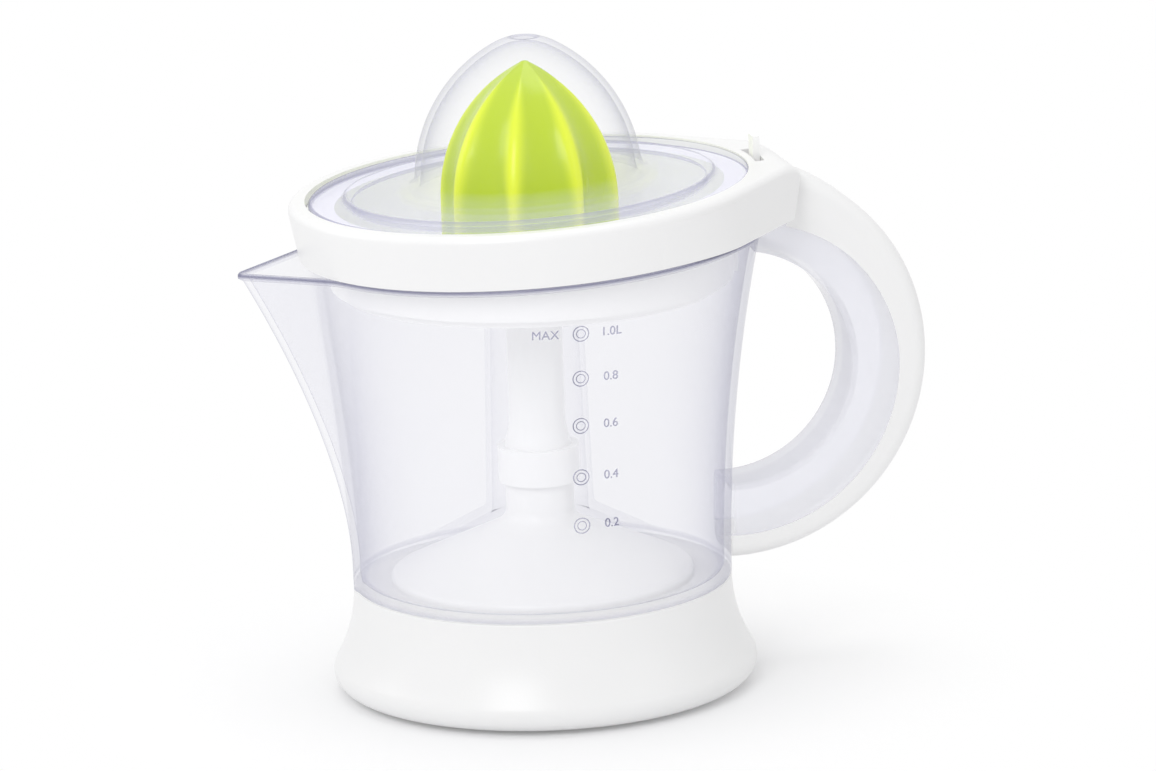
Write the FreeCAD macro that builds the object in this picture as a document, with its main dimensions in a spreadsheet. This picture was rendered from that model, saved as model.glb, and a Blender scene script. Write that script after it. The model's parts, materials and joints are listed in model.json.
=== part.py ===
import FreeCAD, Part
import math
import os
import Sketcher

V = FreeCAD.Vector

# Driving dimensions in millimetres and degrees: name, value, what it sets.
SIZES = (
    # base
    ("base_max_r", "71.0", "base at its bulge"),
    ("base_waist_r", "63.3", "base at its top edge"),
    ("base_ledge_z", "36.5", "ledge that carries the jug"),
    ("base_bulge_r", "6.0", "round of the bulge"),
    ("base_gap", "1.5", "shell edge above the table"),
    ("base_wall", "2.5", "base shell wall"),
    ("base_lip", "2.5", "inward lip round the bottom opening"),
    ("dome_r", "50.5", "raised dome on the ledge"),
    ("dome_step", "3.0", "upright step at the dome's foot"),
    ("dome_top_r", "14.0", "dome where the tower starts"),
    ("dome_top_z", "56.0", "dome top"),
    ("tower_r", "11.4", "tower outside"),
    ("tower_wall", "2.2", "tower wall"),
    ("tower_top_z", "78.5", "tower top"),
    ("boss_r", "4.0", "screw boss in the base"),
    ("boss_ring_r", "54.0", "circle of the screw bosses"),
    ("inlet_z", "14.0", "cord inlet height"),
    ("inlet_r", "4.8", "cord grommet outside"),
    ("inlet_bore_r", "3.0", "cord grommet bore"),
    ("inlet_flange_r", "6.6", "cord grommet flange"),
    ("inlet_flange_t", "2.0", "cord grommet flange thickness"),
    ("inlet_stand", "1.6", "grommet stand-out from the bulge"),
    ("inlet_length", "12.4", "cord grommet length"),
    # underside
    ("plate_t", "2.5", "base plate thickness"),
    ("foot_t", "2.0", "rubber foot thickness"),
    ("foot_r", "49.0", "rubber foot ring outside"),
    ("foot_in_r", "40.0", "rubber foot ring inside"),
    ("screw_r", "1.5", "screw shank"),
    ("screw_head_r", "3.0", "screw head"),
    ("screw_head_t", "1.4", "screw head thickness"),
    ("screw_length", "9.0", "screw shank length"),
    ("fit", "0.1", "clearance of a fixed fit"),
    ("running", "0.05", "radial clearance of a running fit"),
    ("slack", "0.4", "clearance between parts that move apart"),
    # gear train and motor
    ("gear_plate_z", "22.0", "underside of the gear plate"),
    ("gear_plate_t", "2.5", "gear plate thickness"),
    ("post_r", "3.6", "posts under the gear plate"),
    ("arm_r", "6.5", "arms of the gear plate"),
    ("first_module", "0.6", "first gear stage module"),
    ("second_module", "1.0", "second gear stage module"),
    ("rotor_teeth", "12", "rotor pinion teeth"),
    ("idler_teeth", "66", "idler wheel teeth"),
    ("idler_pinion_teeth", "10", "idler pinion teeth"),
    ("output_teeth", "50", "output gear teeth"),
    ("idler_angle", "115", "idler's direction from the drive axis"),
    ("rotor_angle", "197", "rotor's direction from the idler"),
    ("idler_wheel_z", "26.5", "underside of the idler wheel"),
    ("idler_wheel_t", "4.5", "idler wheel thickness"),
    ("idler_pin_r", "2.0", "idler pin"),
    ("idler_hub_r", "4.0", "idler hub"),
    ("output_gear_z", "33.0", "underside of the output gear"),
    ("output_gear_t", "6.5", "output gear thickness"),
    ("output_hub_r", "9.0", "output gear hub"),
    ("rotor_r", "9.5", "rotor magnet"),
    ("rotor_air", "0.7", "air gap round the rotor"),
    ("rotor_shaft_r", "1.6", "rotor shaft"),
    ("rotor_bush_r", "4.0", "rotor bush outside"),
    ("core_z", "11.0", "underside of the motor core"),
    ("core_t", "10.0", "motor core stack"),
    ("core_half", "16.5", "half width of the motor core"),
    ("core_leg", "7.0", "leg width of the motor core"),
    ("core_pole", "13.5", "reach of the poles round the rotor"),
    ("core_window", "27.5", "window length of the motor core"),
    ("core_yoke", "8.0", "yoke width of the motor core"),
    ("core_slit", "4.0", "slit between the poles"),
    ("bobbin_wall", "1.0", "bobbin wall"),
    ("winding_t", "3.6", "winding depth"),
    # spindle, rod and switch
    ("spindle_r", "6.0", "drive spindle"),
    ("spindle_bore_r", "3.0", "drive spindle bore"),
    ("spindle_hex", "9.6", "drive dog across flats"),
    ("spindle_dog", "12.5", "drive dog height"),
    ("spindle_flange_r", "7.5", "thrust flange of the spindle"),
    ("bush_t", "2.4", "spindle bush wall"),
    ("bush_length", "8.0", "spindle bush length"),
    ("rod_r", "2.5", "push rod"),
    ("rod_foot_r", "11.5", "push rod foot"),
    ("rod_foot_t", "2.0", "push rod foot thickness"),
    ("rod_foot_z", "18.0", "underside of the push rod foot"),
    ("press_travel", "2.0", "travel of the cone"),
    ("spring_r", "5.2", "return spring, middle of the wire"),
    ("spring_wire", "1.0", "return spring wire diameter"),
    ("spring_turns", "4", "turns of the return spring"),
    ("spring_seat_z", "8.5", "seat of the return spring"),
    ("spring_seat_r", "7.4", "boss under the return spring"),
    ("spring_pin_r", "3.6", "pin inside the return spring"),
    ("switch_length", "20.0", "switch body length"),
    ("switch_width", "6.4", "switch body width"),
    ("switch_height", "11.0", "switch body height"),
    ("switch_inset", "2.2", "plunger from the end of the switch"),
    ("switch_x", "7.9", "near end of the switch from the drive axis"),
    ("plunger_r", "1.2", "switch plunger"),
    ("plunger_length", "6.0", "switch plunger length"),
    # jug
    ("jug_foot_r", "63.4", "jug at its foot"),
    ("jug_rim_r", "76.0", "jug at its rim"),
    ("jug_wall", "2.4", "jug wall"),
    ("jug_floor_t", "2.6", "jug floor"),
    ("jug_cone_r", "58.0", "foot of the floor cone"),
    ("chimney_foot_r", "18.0", "chimney at its foot"),
    ("chimney_foot_z", "61.0", "foot of the chimney"),
    ("chimney_top_r", "15.9", "chimney at its top"),
    ("chimney_top_z", "146.0", "chimney top"),
    ("chimney_wall", "1.7", "chimney wall"),
    ("rim_z", "152.5", "rim plane on the drive axis"),
    ("rim_tilt", "2.6", "rise of the rim towards the handle"),
    ("rim_lip", "1.4", "lip that stands out round the rim"),
    ("rim_lip_t", "2.2", "lip height"),
    ("spout_reach", "35.0", "pouring edge beyond the foot of the jug"),
    ("spout_half", "43.0", "half angle of the prow"),
    ("spout_tip_r", "4.5", "round of the prow's edge"),
    ("spout_depth", "30.0", "how far the prow reaches into the wall"),
    ("spout_start", "6.0", "prow's start above the ledge"),
    ("spout_power", "1.65", "how the prow grows with height"),
    # handle
    ("grip_x", "66.2", "middle of the finger hole"),
    ("grip_z", "104.6", "middle of the finger hole"),
    ("grip_r", "39.7", "finger hole"),
    ("seam_x", "66.0", "middle of the seam arc"),
    ("seam_z", "103.5", "middle of the seam arc"),
    ("seam_r", "56.0", "seam between handle and cover"),
    ("back_x", "65.0", "middle of the back of the handle"),
    ("back_z", "106.5", "middle of the back of the handle"),
    ("back_r", "67.0", "back of the handle"),
    ("handle_width", "25.0", "handle width"),
    ("handle_wall", "2.4", "handle wall"),
    ("handle_round", "4.5", "round of the handle's edges"),
    # strainer
    ("ring_foot_over", "1.0", "collar's foot beyond the jug's rim"),
    ("ring_r", "79.2", "collar at its shoulder"),
    ("ring_height", "18.3", "collar height"),
    ("ring_wall", "2.4", "collar wall"),
    ("ring_round", "2.6", "round of the collar's top edge"),
    ("ledge_w", "11.1", "underside of the collar's ledge"),
    ("ledge_t", "2.2", "collar ledge thickness"),
    ("ring_land", "5.6", "collar's top outside the lid's recess"),
    ("tab_length", "11.8", "tab beyond the collar, at its top"),
    ("tab_lean", "20.0", "lean of the tab's end"),
    ("flange_reach", "6.8", "lid's recess beyond the basket"),
    ("basket_wall", "2.2", "basket wall"),
    ("basket_z", "138.5", "underside of the basket floor"),
    ("basket_floor_t", "2.4", "basket floor"),
    ("flange_t", "2.0", "basket flange"),
    ("hub_r", "19.5", "basket hub"),
    ("hub_wall", "2.2", "hub wall"),
    ("hub_top_z", "150.5", "hub top"),
    ("slot_count", "36", "slots round the basket"),
    ("slot_in_r", "33.0", "inner end of a slot"),
    ("slot_margin", "7.8", "basket floor outside the slots"),
    ("slot_width", "2.6", "slot width"),
    ("gate_t", "2.2", "gate disc"),
    ("gate_margin", "3.8", "basket beyond the gate disc"),
    ("gate_lip", "1.6", "lip under the gate"),
    ("arm_width", "6.0", "gate arm width"),
    ("arm_t", "2.3", "gate arm thickness"),
    ("nub_inset", "3.4", "lever nub outside the lid's recess"),
    ("nub_rise", "6.8", "lever nub above the collar"),
    ("gate_swing", "5.0", "swing of the gate to each side"),
    # sleeve and cone
    ("sleeve_r", "9.3", "sleeve tube"),
    ("sleeve_bore_r", "5.0", "sleeve bore"),
    ("sleeve_foot_z", "70.0", "foot of the sleeve's skirt"),
    ("skirt_r", "13.6", "sleeve skirt"),
    ("skirt_wall", "1.5", "sleeve skirt wall"),
    ("skirt_height", "12.0", "sleeve skirt height"),
    ("flare_height", "8.0", "flare above the skirt"),
    ("flare_r", "11.2", "flare at the skirt"),
    ("sleeve_shoulder_z", "168.0", "shoulder under the cone's socket"),
    ("sleeve_hex", "15.0", "sleeve head across flats"),
    ("sleeve_top_z", "188.0", "sleeve top"),
    ("cone_r", "30.0", "cone at its ribs"),
    ("cone_skirt_z", "150.0", "cone's lower edge"),
    ("cone_z", "165.0", "where the cone starts to close in"),
    ("cone_tip_r", "2.6", "blunt tip"),
    ("cone_tip_z", "211.2", "tip"),
    ("cone_shell", "2.2", "cone wall behind a flute"),
    ("cone_boss_r", "12.4", "socket boss"),
    ("cone_boss_z", "160.0", "lower end of the socket boss"),
    ("flute_count", "8", "flutes round the cone"),
    ("flute_r", "18.0", "round of a flute"),
    ("flute_depth", "5.2", "flute depth at the cone's widest"),
    ("flute_arc_r", "64.2", "arc that a flute follows"),
    ("flute_rise", "6.3", "middle of that arc above the cone's widest"),
    # lid
    ("lid_flange_t", "2.4", "lid flange"),
    ("lid_wall", "2.0", "lid wall"),
    ("lid_border", "12.6", "lid's recess beyond the raised plate"),
    ("lid_plate_rise", "1.5", "rise of that plate"),
    ("lid_dome_r", "37.7", "dome at its foot"),
    ("lid_dome_z", "172.0", "where the dome starts to close in"),
    ("lid_top_z", "220.4", "dome top"),
    ("lid_crown_r", "22.0", "round of the crown"),
    ("dimple_r", "4.3", "finger dimple"),
    ("dimple_depth", "1.2", "finger dimple depth"),
)


class Size:
    """A sheet value, or a formula of sheet values, with its present number."""

    def __init__(self, text, number):
        self.text = text
        self.number = number

    @staticmethod
    def of(value):
        return value if isinstance(value, Size) else Size(repr(value), value)

    def join(self, sign, other, number):
        return Size(f"({self.text} {sign} {other.text})", number)

    def __add__(self, other):
        other = Size.of(other)
        return self.join("+", other, self.number + other.number)

    def __sub__(self, other):
        other = Size.of(other)
        return self.join("-", other, self.number - other.number)

    def __mul__(self, other):
        other = Size.of(other)
        return self.join("*", other, self.number * other.number)

    def __truediv__(self, other):
        other = Size.of(other)
        return self.join("/", other, self.number / other.number)

    def __pow__(self, other):
        other = Size.of(other)
        return self.join("^", other, self.number**other.number)

    def __radd__(self, other):
        return Size.of(other) + self

    def __rsub__(self, other):
        return Size.of(other) - self

    def __rmul__(self, other):
        return Size.of(other) * self

    def __neg__(self):
        return Size(f"(-{self.text})", -self.number)

    def __float__(self):
        return float(self.number)


def root(size):
    return Size(f"sqrt({size.text})", math.sqrt(size.number))


def sine(angle):
    return Size(f"sin({angle.text})", math.sin(math.radians(angle.number)))


def cosine(angle):
    return Size(f"cos({angle.text})", math.cos(math.radians(angle.number)))


def tangent(angle):
    return Size(f"tan({angle.text})", math.tan(math.radians(angle.number)))


class Dimensions:
    """The sheet of driving dimensions, read by name."""

    def __init__(self, document):
        sheet = document.addObject("Spreadsheet::Sheet", "Sizes")
        for row, (name, value, note) in enumerate(SIZES, start=1):
            sheet.set(f"A{row}", note)
            sheet.set(f"B{row}", value)
            sheet.setAlias(f"B{row}", name)
        document.recompute()
        for name, value, note in SIZES:
            setattr(self, name, Size(f"Sizes.{name}", sheet.get(name)))


doc = FreeCAD.newDocument("citrus_press")
d = Dimensions(doc)
ZERO = Size("0", 0)


# Sketches and features

def place(obj, x=None, y=None, z=None, tilt=None, turn=None):
    """Bind an object's place, and its tilt towards the handle or turn about the vertical."""
    if tilt is not None:
        obj.Placement = FreeCAD.Placement(V(), FreeCAD.Rotation(V(0, -1, 0), tilt.number))
        obj.setExpression("Placement.Rotation.Angle", tilt.text)
    if turn is not None:
        obj.Placement = FreeCAD.Placement(V(), FreeCAD.Rotation(V(0, 0, 1), turn.number))
        obj.setExpression("Placement.Rotation.Angle", turn.text)
    for axis, size in (("x", x), ("y", y), ("z", z)):
        if size is not None:
            obj.setExpression(f"Placement.Base.{axis}", size.text)
    return obj


def new_body(name, **where):
    body = doc.addObject("PartDesign::Body", name)
    body.Label = name
    return place(body, **where)


def origin_feature(body, role):
    return next(feature for feature in body.Origin.OriginFeatures if feature.Role == role)


def bind(sketch, kind, *parts):
    *where, size = parts
    index = sketch.addConstraint(Sketcher.Constraint(kind, *where, float(size)))
    sketch.setExpression(f"Constraints[{index}]", size.text)


def pin_point(sketch, curve, end, x, y):
    for kind, size, axis in (("DistanceX", x, -2), ("DistanceY", y, -1)):
        if size is ZERO:
            sketch.addConstraint(Sketcher.Constraint("PointOnObject", curve, end, axis))
        else:
            bind(sketch, kind, -1, 1, curve, end, size)


def arc_middle(start, end, radius, side):
    """Middle of the short arc from start to end; side 1 turns left, -1 turns right."""
    chord = end - start
    half = chord.Length / 2
    sagitta = radius - math.sqrt(radius * radius - half * half)
    left = V(-chord.y, chord.x, 0).normalize()
    return (start + end) * 0.5 - left * (sagitta * side)


def draw_outline(sketch, corners):
    """A closed outline; a corner's third item makes an arc, (radius, side), to the next one."""
    points = [V(float(corner[0]), float(corner[1]), 0) for corner in corners]
    pieces = []
    for index, corner in enumerate(corners):
        start = points[index]
        end = points[(index + 1) % len(points)]
        first = 1
        if len(corner) == 3:
            radius, side = corner[2]
            middle = arc_middle(start, end, float(radius), side)
            curve = sketch.addGeometry(Part.Arc(start, middle, end))
            bind(sketch, "Radius", curve, radius)
            if (sketch.getPoint(curve, 1) - start).Length > (sketch.getPoint(curve, 2) - start).Length:
                first = 2
        else:
            curve = sketch.addGeometry(Part.LineSegment(start, end))
        pieces.append((curve, first, 3 - first))
    for index, (curve, first, last) in enumerate(pieces):
        before, before_first, before_last = pieces[index - 1]
        sketch.addConstraint(Sketcher.Constraint("Coincident", before, before_last, curve, first))
    for corner, (curve, first, last) in zip(corners, pieces):
        pin_point(sketch, curve, first, corner[0], corner[1])


def draw_circle(sketch, x, y, radius):
    curve = sketch.addGeometry(Part.Circle(V(float(x), float(y), 0), V(0, 0, 1), float(radius)))
    bind(sketch, "Radius", curve, radius)
    pin_point(sketch, curve, 3, x, y)


def draw(body, role, loops, lift=None, tilt=None):
    """A sketch on one of the body's own planes; a loop is an outline or a circle (x, y, radius)."""
    sketch = body.newObject("Sketcher::SketchObject", "Sketch")
    sketch.AttachmentSupport = [(origin_feature(body, role), "")]
    sketch.MapMode = "FlatFace"
    if tilt is not None:
        sketch.AttachmentOffset = FreeCAD.Placement(V(), FreeCAD.Rotation(V(0, -1, 0), tilt.number))
        sketch.setExpression("AttachmentOffset.Rotation.Angle", tilt.text)
    if lift is not None:
        sketch.setExpression("AttachmentOffset.Base.z", lift.text)
    for loop in loops:
        if isinstance(loop, tuple):
            draw_circle(sketch, *loop)
        else:
            draw_outline(sketch, loop)
    return sketch


def revolve(body, outline, kind="Revolution"):
    """Turn an outline of (radius, height) corners about the body's own upright axis."""
    sketch = draw(body, "XZ_Plane", [outline])
    feature = body.newObject(f"PartDesign::{kind}", kind)
    feature.Profile = sketch
    feature.ReferenceAxis = (sketch, ["V_Axis"])
    feature.Angle = 360
    return feature


def groove(body, outline):
    return revolve(body, outline, "Groove")


def extrude(body, loops, length, role="XY_Plane", kind="Pad", lift=None, tilt=None, both=False, back=False):
    feature = body.newObject(f"PartDesign::{kind}", kind)
    feature.Profile = draw(body, role, loops, lift, tilt)
    feature.setExpression("Length", length.text)
    feature.SideType = "Symmetric" if both else "One side"
    feature.Reversed = back
    return feature


def pocket(body, loops, length, **options):
    return extrude(body, loops, length, kind="Pocket", **options)


def repeat_round(body, count, *features):
    pattern = body.newObject("PartDesign::PolarPattern", "PolarPattern")
    pattern.Originals = list(features)
    pattern.Axis = (origin_feature(body, "Z_Axis"), [""])
    pattern.Angle = 360
    pattern.setExpression("Occurrences", count.text)
    body.Tip = pattern
    return pattern


def round_edges(body, wanted, radius):
    """Fillet the edges of the body's present shape that wanted(edge) picks."""
    doc.recompute()
    base = body.Tip
    names = [f"Edge{i}" for i, edge in enumerate(base.Shape.Edges, start=1) if wanted(edge)]
    fillet = body.newObject("PartDesign::Fillet", "Fillet")
    fillet.Base = (base, names)
    fillet.setExpression("Radius", radius.text)
    return fillet


def of_radius(radius):
    """Picks the round edges of a given radius."""
    def wanted(edge):
        return abs(getattr(edge.Curve, "Radius", 0.0) - float(radius)) < 1e-6
    return wanted


def solid_cylinder(name, radius, height, x=None, y=None, z=None):
    cylinder = doc.addObject("Part::Cylinder", name)
    cylinder.setExpression("Radius", radius.text)
    cylinder.setExpression("Height", height.text)
    return place(cylinder, x=x, y=y, z=z)


def subtract(name, base, tool):
    cut = doc.addObject("Part::Cut", name)
    cut.Base = base
    cut.Tool = tool
    cut.Label = name
    return cut


def join(name, *shapes):
    fusion = doc.addObject("Part::MultiFuse", name)
    fusion.Shapes = list(shapes)
    fusion.Label = name
    return fusion


def group(name, *shapes):
    compound = doc.addObject("Part::Compound", name)
    compound.Links = list(shapes)
    compound.Label = name
    return compound


def shaped(name, shape, **where):
    feature = doc.addObject("Part::Feature", name)
    feature.Shape = shape
    feature.Label = name
    return place(feature, **where)


def ring_outline(inner, outer, low, high):
    return [(inner, low), (outer, low), (outer, high), (inner, high)]


def rectangle(x0, x1, y0, y1):
    return [(x0, y0), (x1, y0), (x1, y1), (x0, y1)]


def hexagon(flats):
    """Corners of a hexagon about the origin, given its size across flats."""
    corner = flats / (2 * math.cos(math.radians(30)))
    half = flats * 0.5
    side = corner * 0.5
    return [(corner, ZERO), (side, half), (-side, half), (-corner, ZERO), (-side, -half), (side, -half)]


# Places that several pieces share
plate_z = d.foot_t
plate_top_z = plate_z + d.plate_t
opening_r = d.base_max_r - d.base_bulge_r - d.base_lip
gear_plate_top_z = d.gear_plate_z + d.gear_plate_t
second_distance = d.second_module * (d.idler_pinion_teeth + d.output_teeth) / 2
first_distance = d.first_module * (d.rotor_teeth + d.idler_teeth) / 2
idler_x = second_distance * cosine(d.idler_angle)
idler_y = second_distance * sine(d.idler_angle)
rotor_x = idler_x + first_distance * cosine(d.rotor_angle)
rotor_y = idler_y + first_distance * sine(d.rotor_angle)
bore_r = d.rotor_r + d.rotor_air
bush_r = d.spindle_r + d.running + d.bush_t
switch_plunger_x = d.switch_x + d.switch_inset
switch_top_z = plate_top_z + d.switch_height
flange_top_w = d.ledge_w + d.ledge_t + d.flange_t
seat_gap = d.fit
lid_w = flange_top_w + seat_gap
ring_foot_r = d.jug_rim_r + d.ring_foot_over
lid_seat_r = d.ring_r - d.ring_land
basket_r = lid_seat_r - d.flange_reach
slot_out_r = basket_r - d.slot_margin
gate_r = basket_r - d.gate_margin
nub_r = lid_seat_r + d.nub_inset
lid_plate_r = lid_seat_r - d.lid_border
tab_reach = d.ring_r + d.tab_length
jug_sweep_r = ((d.jug_rim_r - d.jug_foot_r) ** 2 + (d.rim_z - d.base_ledge_z) ** 2) / (
    2 * (d.jug_rim_r - d.jug_foot_r)
)
jug_sweep_x = d.jug_foot_r + jug_sweep_r
jug_top_z = d.rim_z + d.ring_height


def jug_radius(height, inset=ZERO):
    """The jug's outside radius at a height, less an inset into the wall."""
    return jug_sweep_x - root((jug_sweep_r + inset) ** 2 - (height - d.base_ledge_z) ** 2)


# Base

def base_housing():
    """Flared shell with its ledge, dome and tower turned as one profile."""
    body = new_body("base_housing")
    bulge_x = d.base_max_r - d.base_bulge_r
    bulge_z = d.base_gap + d.base_bulge_r
    rise = d.base_ledge_z - bulge_z
    flare = d.base_max_r - d.base_waist_r
    sweep = (rise**2 + flare**2) / (2 * flare) - d.base_bulge_r
    across = (d.base_waist_r + sweep - bulge_x) / (sweep + d.base_bulge_r)
    up = rise / (sweep + d.base_bulge_r)
    inner_bulge = d.base_bulge_r - d.base_wall
    inner_sweep = sweep + d.base_wall
    tower_in = d.tower_r - d.tower_wall
    dome_in = d.dome_r - d.base_wall
    slope = (d.dome_top_z - d.base_ledge_z - d.dome_step) / (d.dome_r - d.dome_top_r)
    under_ledge = d.base_ledge_z - d.base_wall
    inner_waist = d.base_waist_r + sweep - root(inner_sweep**2 - d.base_wall**2)
    revolve(body, [
        (opening_r, d.base_gap),
        (bulge_x, d.base_gap, (d.base_bulge_r, 1)),
        (bulge_x + d.base_bulge_r * across, bulge_z + d.base_bulge_r * up, (sweep, -1)),
        (d.base_waist_r, d.base_ledge_z),
        (d.dome_r, d.base_ledge_z),
        (d.dome_r, d.base_ledge_z + d.dome_step),
        (d.dome_top_r, d.dome_top_z),
        (d.tower_r, d.dome_top_z + d.dome_top_r - d.tower_r),
        (d.tower_r, d.tower_top_z),
        (tower_in, d.tower_top_z),
        (tower_in, under_ledge + d.dome_step + (dome_in - tower_in) * slope),
        (dome_in, under_ledge + d.dome_step),
        (dome_in, under_ledge),
        (inner_waist, under_ledge, (inner_sweep, 1)),
        (bulge_x + inner_bulge * across, bulge_z + inner_bulge * up, (inner_bulge, -1)),
        (bulge_x, d.base_gap + d.base_wall),
        (opening_r, d.base_gap + d.base_wall),
    ])
    diagonal = d.boss_ring_r * math.sqrt(0.5)
    boss_height = d.base_ledge_z - d.base_wall / 2 - plate_top_z
    boss = extrude(body, [(diagonal, diagonal, d.boss_r)], boss_height, lift=plate_top_z)
    repeat_round(body, Size.of(4), boss)
    screw_hole = (diagonal, diagonal, d.screw_r + d.fit)
    hole = pocket(body, [screw_hole], d.screw_length + d.fit * 5, lift=plate_top_z, back=True)
    repeat_round(body, Size.of(4), hole)
    pocket(body, [(ZERO, d.inlet_z, d.inlet_r + d.fit)], d.base_max_r, role="XZ_Plane")
    return body


def cord_inlet():
    """Rubber grommet in the rear wall, turned about its own axis and laid along Y."""
    body = doc.addObject("PartDesign::Body", "cord_inlet")
    body.Label = "cord_inlet"
    revolve(body, [
        (d.inlet_bore_r, ZERO),
        (d.inlet_flange_r, ZERO),
        (d.inlet_flange_r, d.inlet_flange_t),
        (d.inlet_r, d.inlet_flange_t),
        (d.inlet_r, d.inlet_length),
        (d.inlet_bore_r, d.inlet_length),
    ])
    body.Placement = FreeCAD.Placement(V(), FreeCAD.Rotation(V(1, 0, 0), -90))
    body.setExpression("Placement.Base.y", (d.base_max_r + d.inlet_stand - d.inlet_length).text)
    body.setExpression("Placement.Base.z", d.inlet_z.text)
    return body


def base_plate():
    """Bottom plate with its posts, spring boss and rotor bearing cup."""
    body = new_body("base_plate")
    extrude(body, [(ZERO, ZERO, opening_r - d.fit * 3)], d.plate_t, lift=plate_z)
    gear_posts = [(x, y, d.post_r) for x, y in post_places()]
    extrude(body, gear_posts, d.gear_plate_z - plate_top_z + d.plate_t / 2, lift=plate_top_z - d.plate_t / 2)
    yoke_y = rotor_y - d.core_pole - d.core_window - d.core_yoke / 2
    leg = d.core_half - d.core_leg / 2
    pole_y = rotor_y - d.core_pole / 2
    core_posts = [
        (rotor_x, yoke_y, d.post_r),
        (rotor_x - leg, pole_y, d.post_r - d.fit * 6),
        (rotor_x + leg, pole_y, d.post_r - d.fit * 6),
    ]
    extrude(body, core_posts, d.core_z - plate_top_z + d.plate_t / 2, lift=plate_top_z - d.plate_t / 2)
    cup_top = plate_top_z + d.rotor_bush_r
    extrude(body, [(rotor_x, rotor_y, d.rotor_bush_r + d.base_wall)], d.rotor_bush_r + d.plate_t / 2,
            lift=plate_top_z - d.plate_t / 2)
    extrude(body, [(ZERO, ZERO, d.spring_seat_r)], d.spring_seat_z - plate_top_z + d.plate_t / 2,
            lift=plate_top_z - d.plate_t / 2)
    extrude(body, [(ZERO, ZERO, d.spring_pin_r)], d.spring_seat_z + d.rod_r - plate_z, lift=plate_z)
    pocket(body, [(rotor_x, rotor_y, d.rotor_bush_r + d.fit)], d.rotor_bush_r, lift=cup_top)
    diagonal = d.boss_ring_r * math.sqrt(0.5)
    screw_hole = (diagonal, diagonal, d.screw_r + d.fit * 3)
    hole = pocket(body, [screw_hole], d.plate_t * 2, lift=plate_top_z + d.fit)
    repeat_round(body, Size.of(4), hole)
    return body


def post_places():
    """Where three posts carry the gear plate."""
    reach = d.spindle_flange_r + d.arm_r * 2
    beyond = d.arm_r * 3
    return [
        (reach * math.cos(math.radians(20)), reach * math.sin(math.radians(20))),
        (reach * math.cos(math.radians(-70)), reach * math.sin(math.radians(-70))),
        (idler_x + beyond * math.cos(math.radians(70)), idler_y + beyond * math.sin(math.radians(70))),
    ]


def rubber_foot():
    """Non-slip ring that the object stands on."""
    body = new_body("rubber_foot")
    revolve(body, ring_outline(d.foot_in_r, d.foot_r, ZERO, d.foot_t))
    return body


def screw(x, y, z, length, down):
    """A plain pan screw; down puts the head on top, else the head is below."""
    shank_z = z - length if down else z
    head_z = z if down else z - d.screw_head_t
    shank = solid_cylinder("shank", d.screw_r, length, x=x, y=y, z=shank_z)
    head = solid_cylinder("head", d.screw_head_r, d.screw_head_t, x=x, y=y, z=head_z)
    return join("screw", shank, head)


def base_screws():
    diagonal = d.boss_ring_r * math.sqrt(0.5)
    places = [(diagonal * x, diagonal * y) for x in (1, -1) for y in (1, -1)]
    length = d.plate_t + d.screw_length
    return group("base_screws", *[screw(x, y, plate_z, length, False) for x, y in places])


# Motor

def motor_core():
    """Laminated U core: two legs, a yoke and two poles round the rotor."""
    body = new_body("motor_core", x=rotor_x, y=rotor_y, z=d.core_z)
    half = d.core_half
    slit = d.core_slit / 2
    leg_in = d.core_half - d.core_leg
    mouth = root(bore_r**2 - slit**2)
    window_top = -d.core_pole
    window_low = window_top - d.core_window
    low = window_low - d.core_yoke
    extrude(body, [[
        (-half, low), (half, low), (half, d.core_pole), (slit, d.core_pole),
        (slit, mouth, (bore_r, -1)), (slit, -mouth),
        (slit, window_top), (leg_in, window_top), (leg_in, window_low),
        (-leg_in, window_low), (-leg_in, window_top), (-slit, window_top),
        (-slit, -mouth, (bore_r, -1)), (-slit, mouth),
        (-slit, d.core_pole), (-half, d.core_pole),
    ]], d.core_t)
    return body


def coil_section(side):
    """Middle of one core leg, and the half sizes of the bobbin bore round it."""
    middle = (d.core_half - d.core_leg / 2) * side
    return middle, d.core_leg / 2 + d.fit, d.core_t / 2 + d.fit


def coil_frame(half_x, half_z, middle):
    centre_z = d.core_t / 2
    return rectangle(middle - half_x, middle + half_x, centre_z - half_z, centre_z + half_z)


def bobbin(name, side):
    """Flanged bobbin on one leg of the core."""
    body = new_body(name, x=rotor_x, y=rotor_y, z=d.core_z)
    middle, bore_x, bore_z = coil_section(side)
    tube_x = bore_x + d.bobbin_wall
    tube_z = bore_z + d.bobbin_wall
    rim_x = tube_x + d.winding_t
    rim_z = tube_z + d.winding_t
    start = d.core_pole + d.fit
    length = d.core_window - d.fit * 2
    bore = coil_frame(bore_x, bore_z, middle)
    extrude(body, [coil_frame(tube_x, tube_z, middle), bore], length, role="XZ_Plane", lift=start)
    for place_y in (start, start + length - d.bobbin_wall):
        extrude(body, [coil_frame(rim_x, rim_z, middle), bore], d.bobbin_wall, role="XZ_Plane", lift=place_y)
    return body


def winding(name, side):
    """Copper winding between the flanges of one bobbin."""
    body = new_body(name, x=rotor_x, y=rotor_y, z=d.core_z)
    middle, bore_x, bore_z = coil_section(side)
    inner_x = bore_x + d.bobbin_wall + d.running
    inner_z = bore_z + d.bobbin_wall + d.running
    outer_x = inner_x + d.winding_t - d.fit * 5
    outer_z = inner_z + d.winding_t - d.fit * 5
    start = d.core_pole + d.fit + d.bobbin_wall + d.running
    length = d.core_window - (d.fit + d.bobbin_wall + d.running) * 2
    loops = [coil_frame(outer_x, outer_z, middle), coil_frame(inner_x, inner_z, middle)]
    extrude(body, loops, length, role="XZ_Plane", lift=start)
    return body


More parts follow.
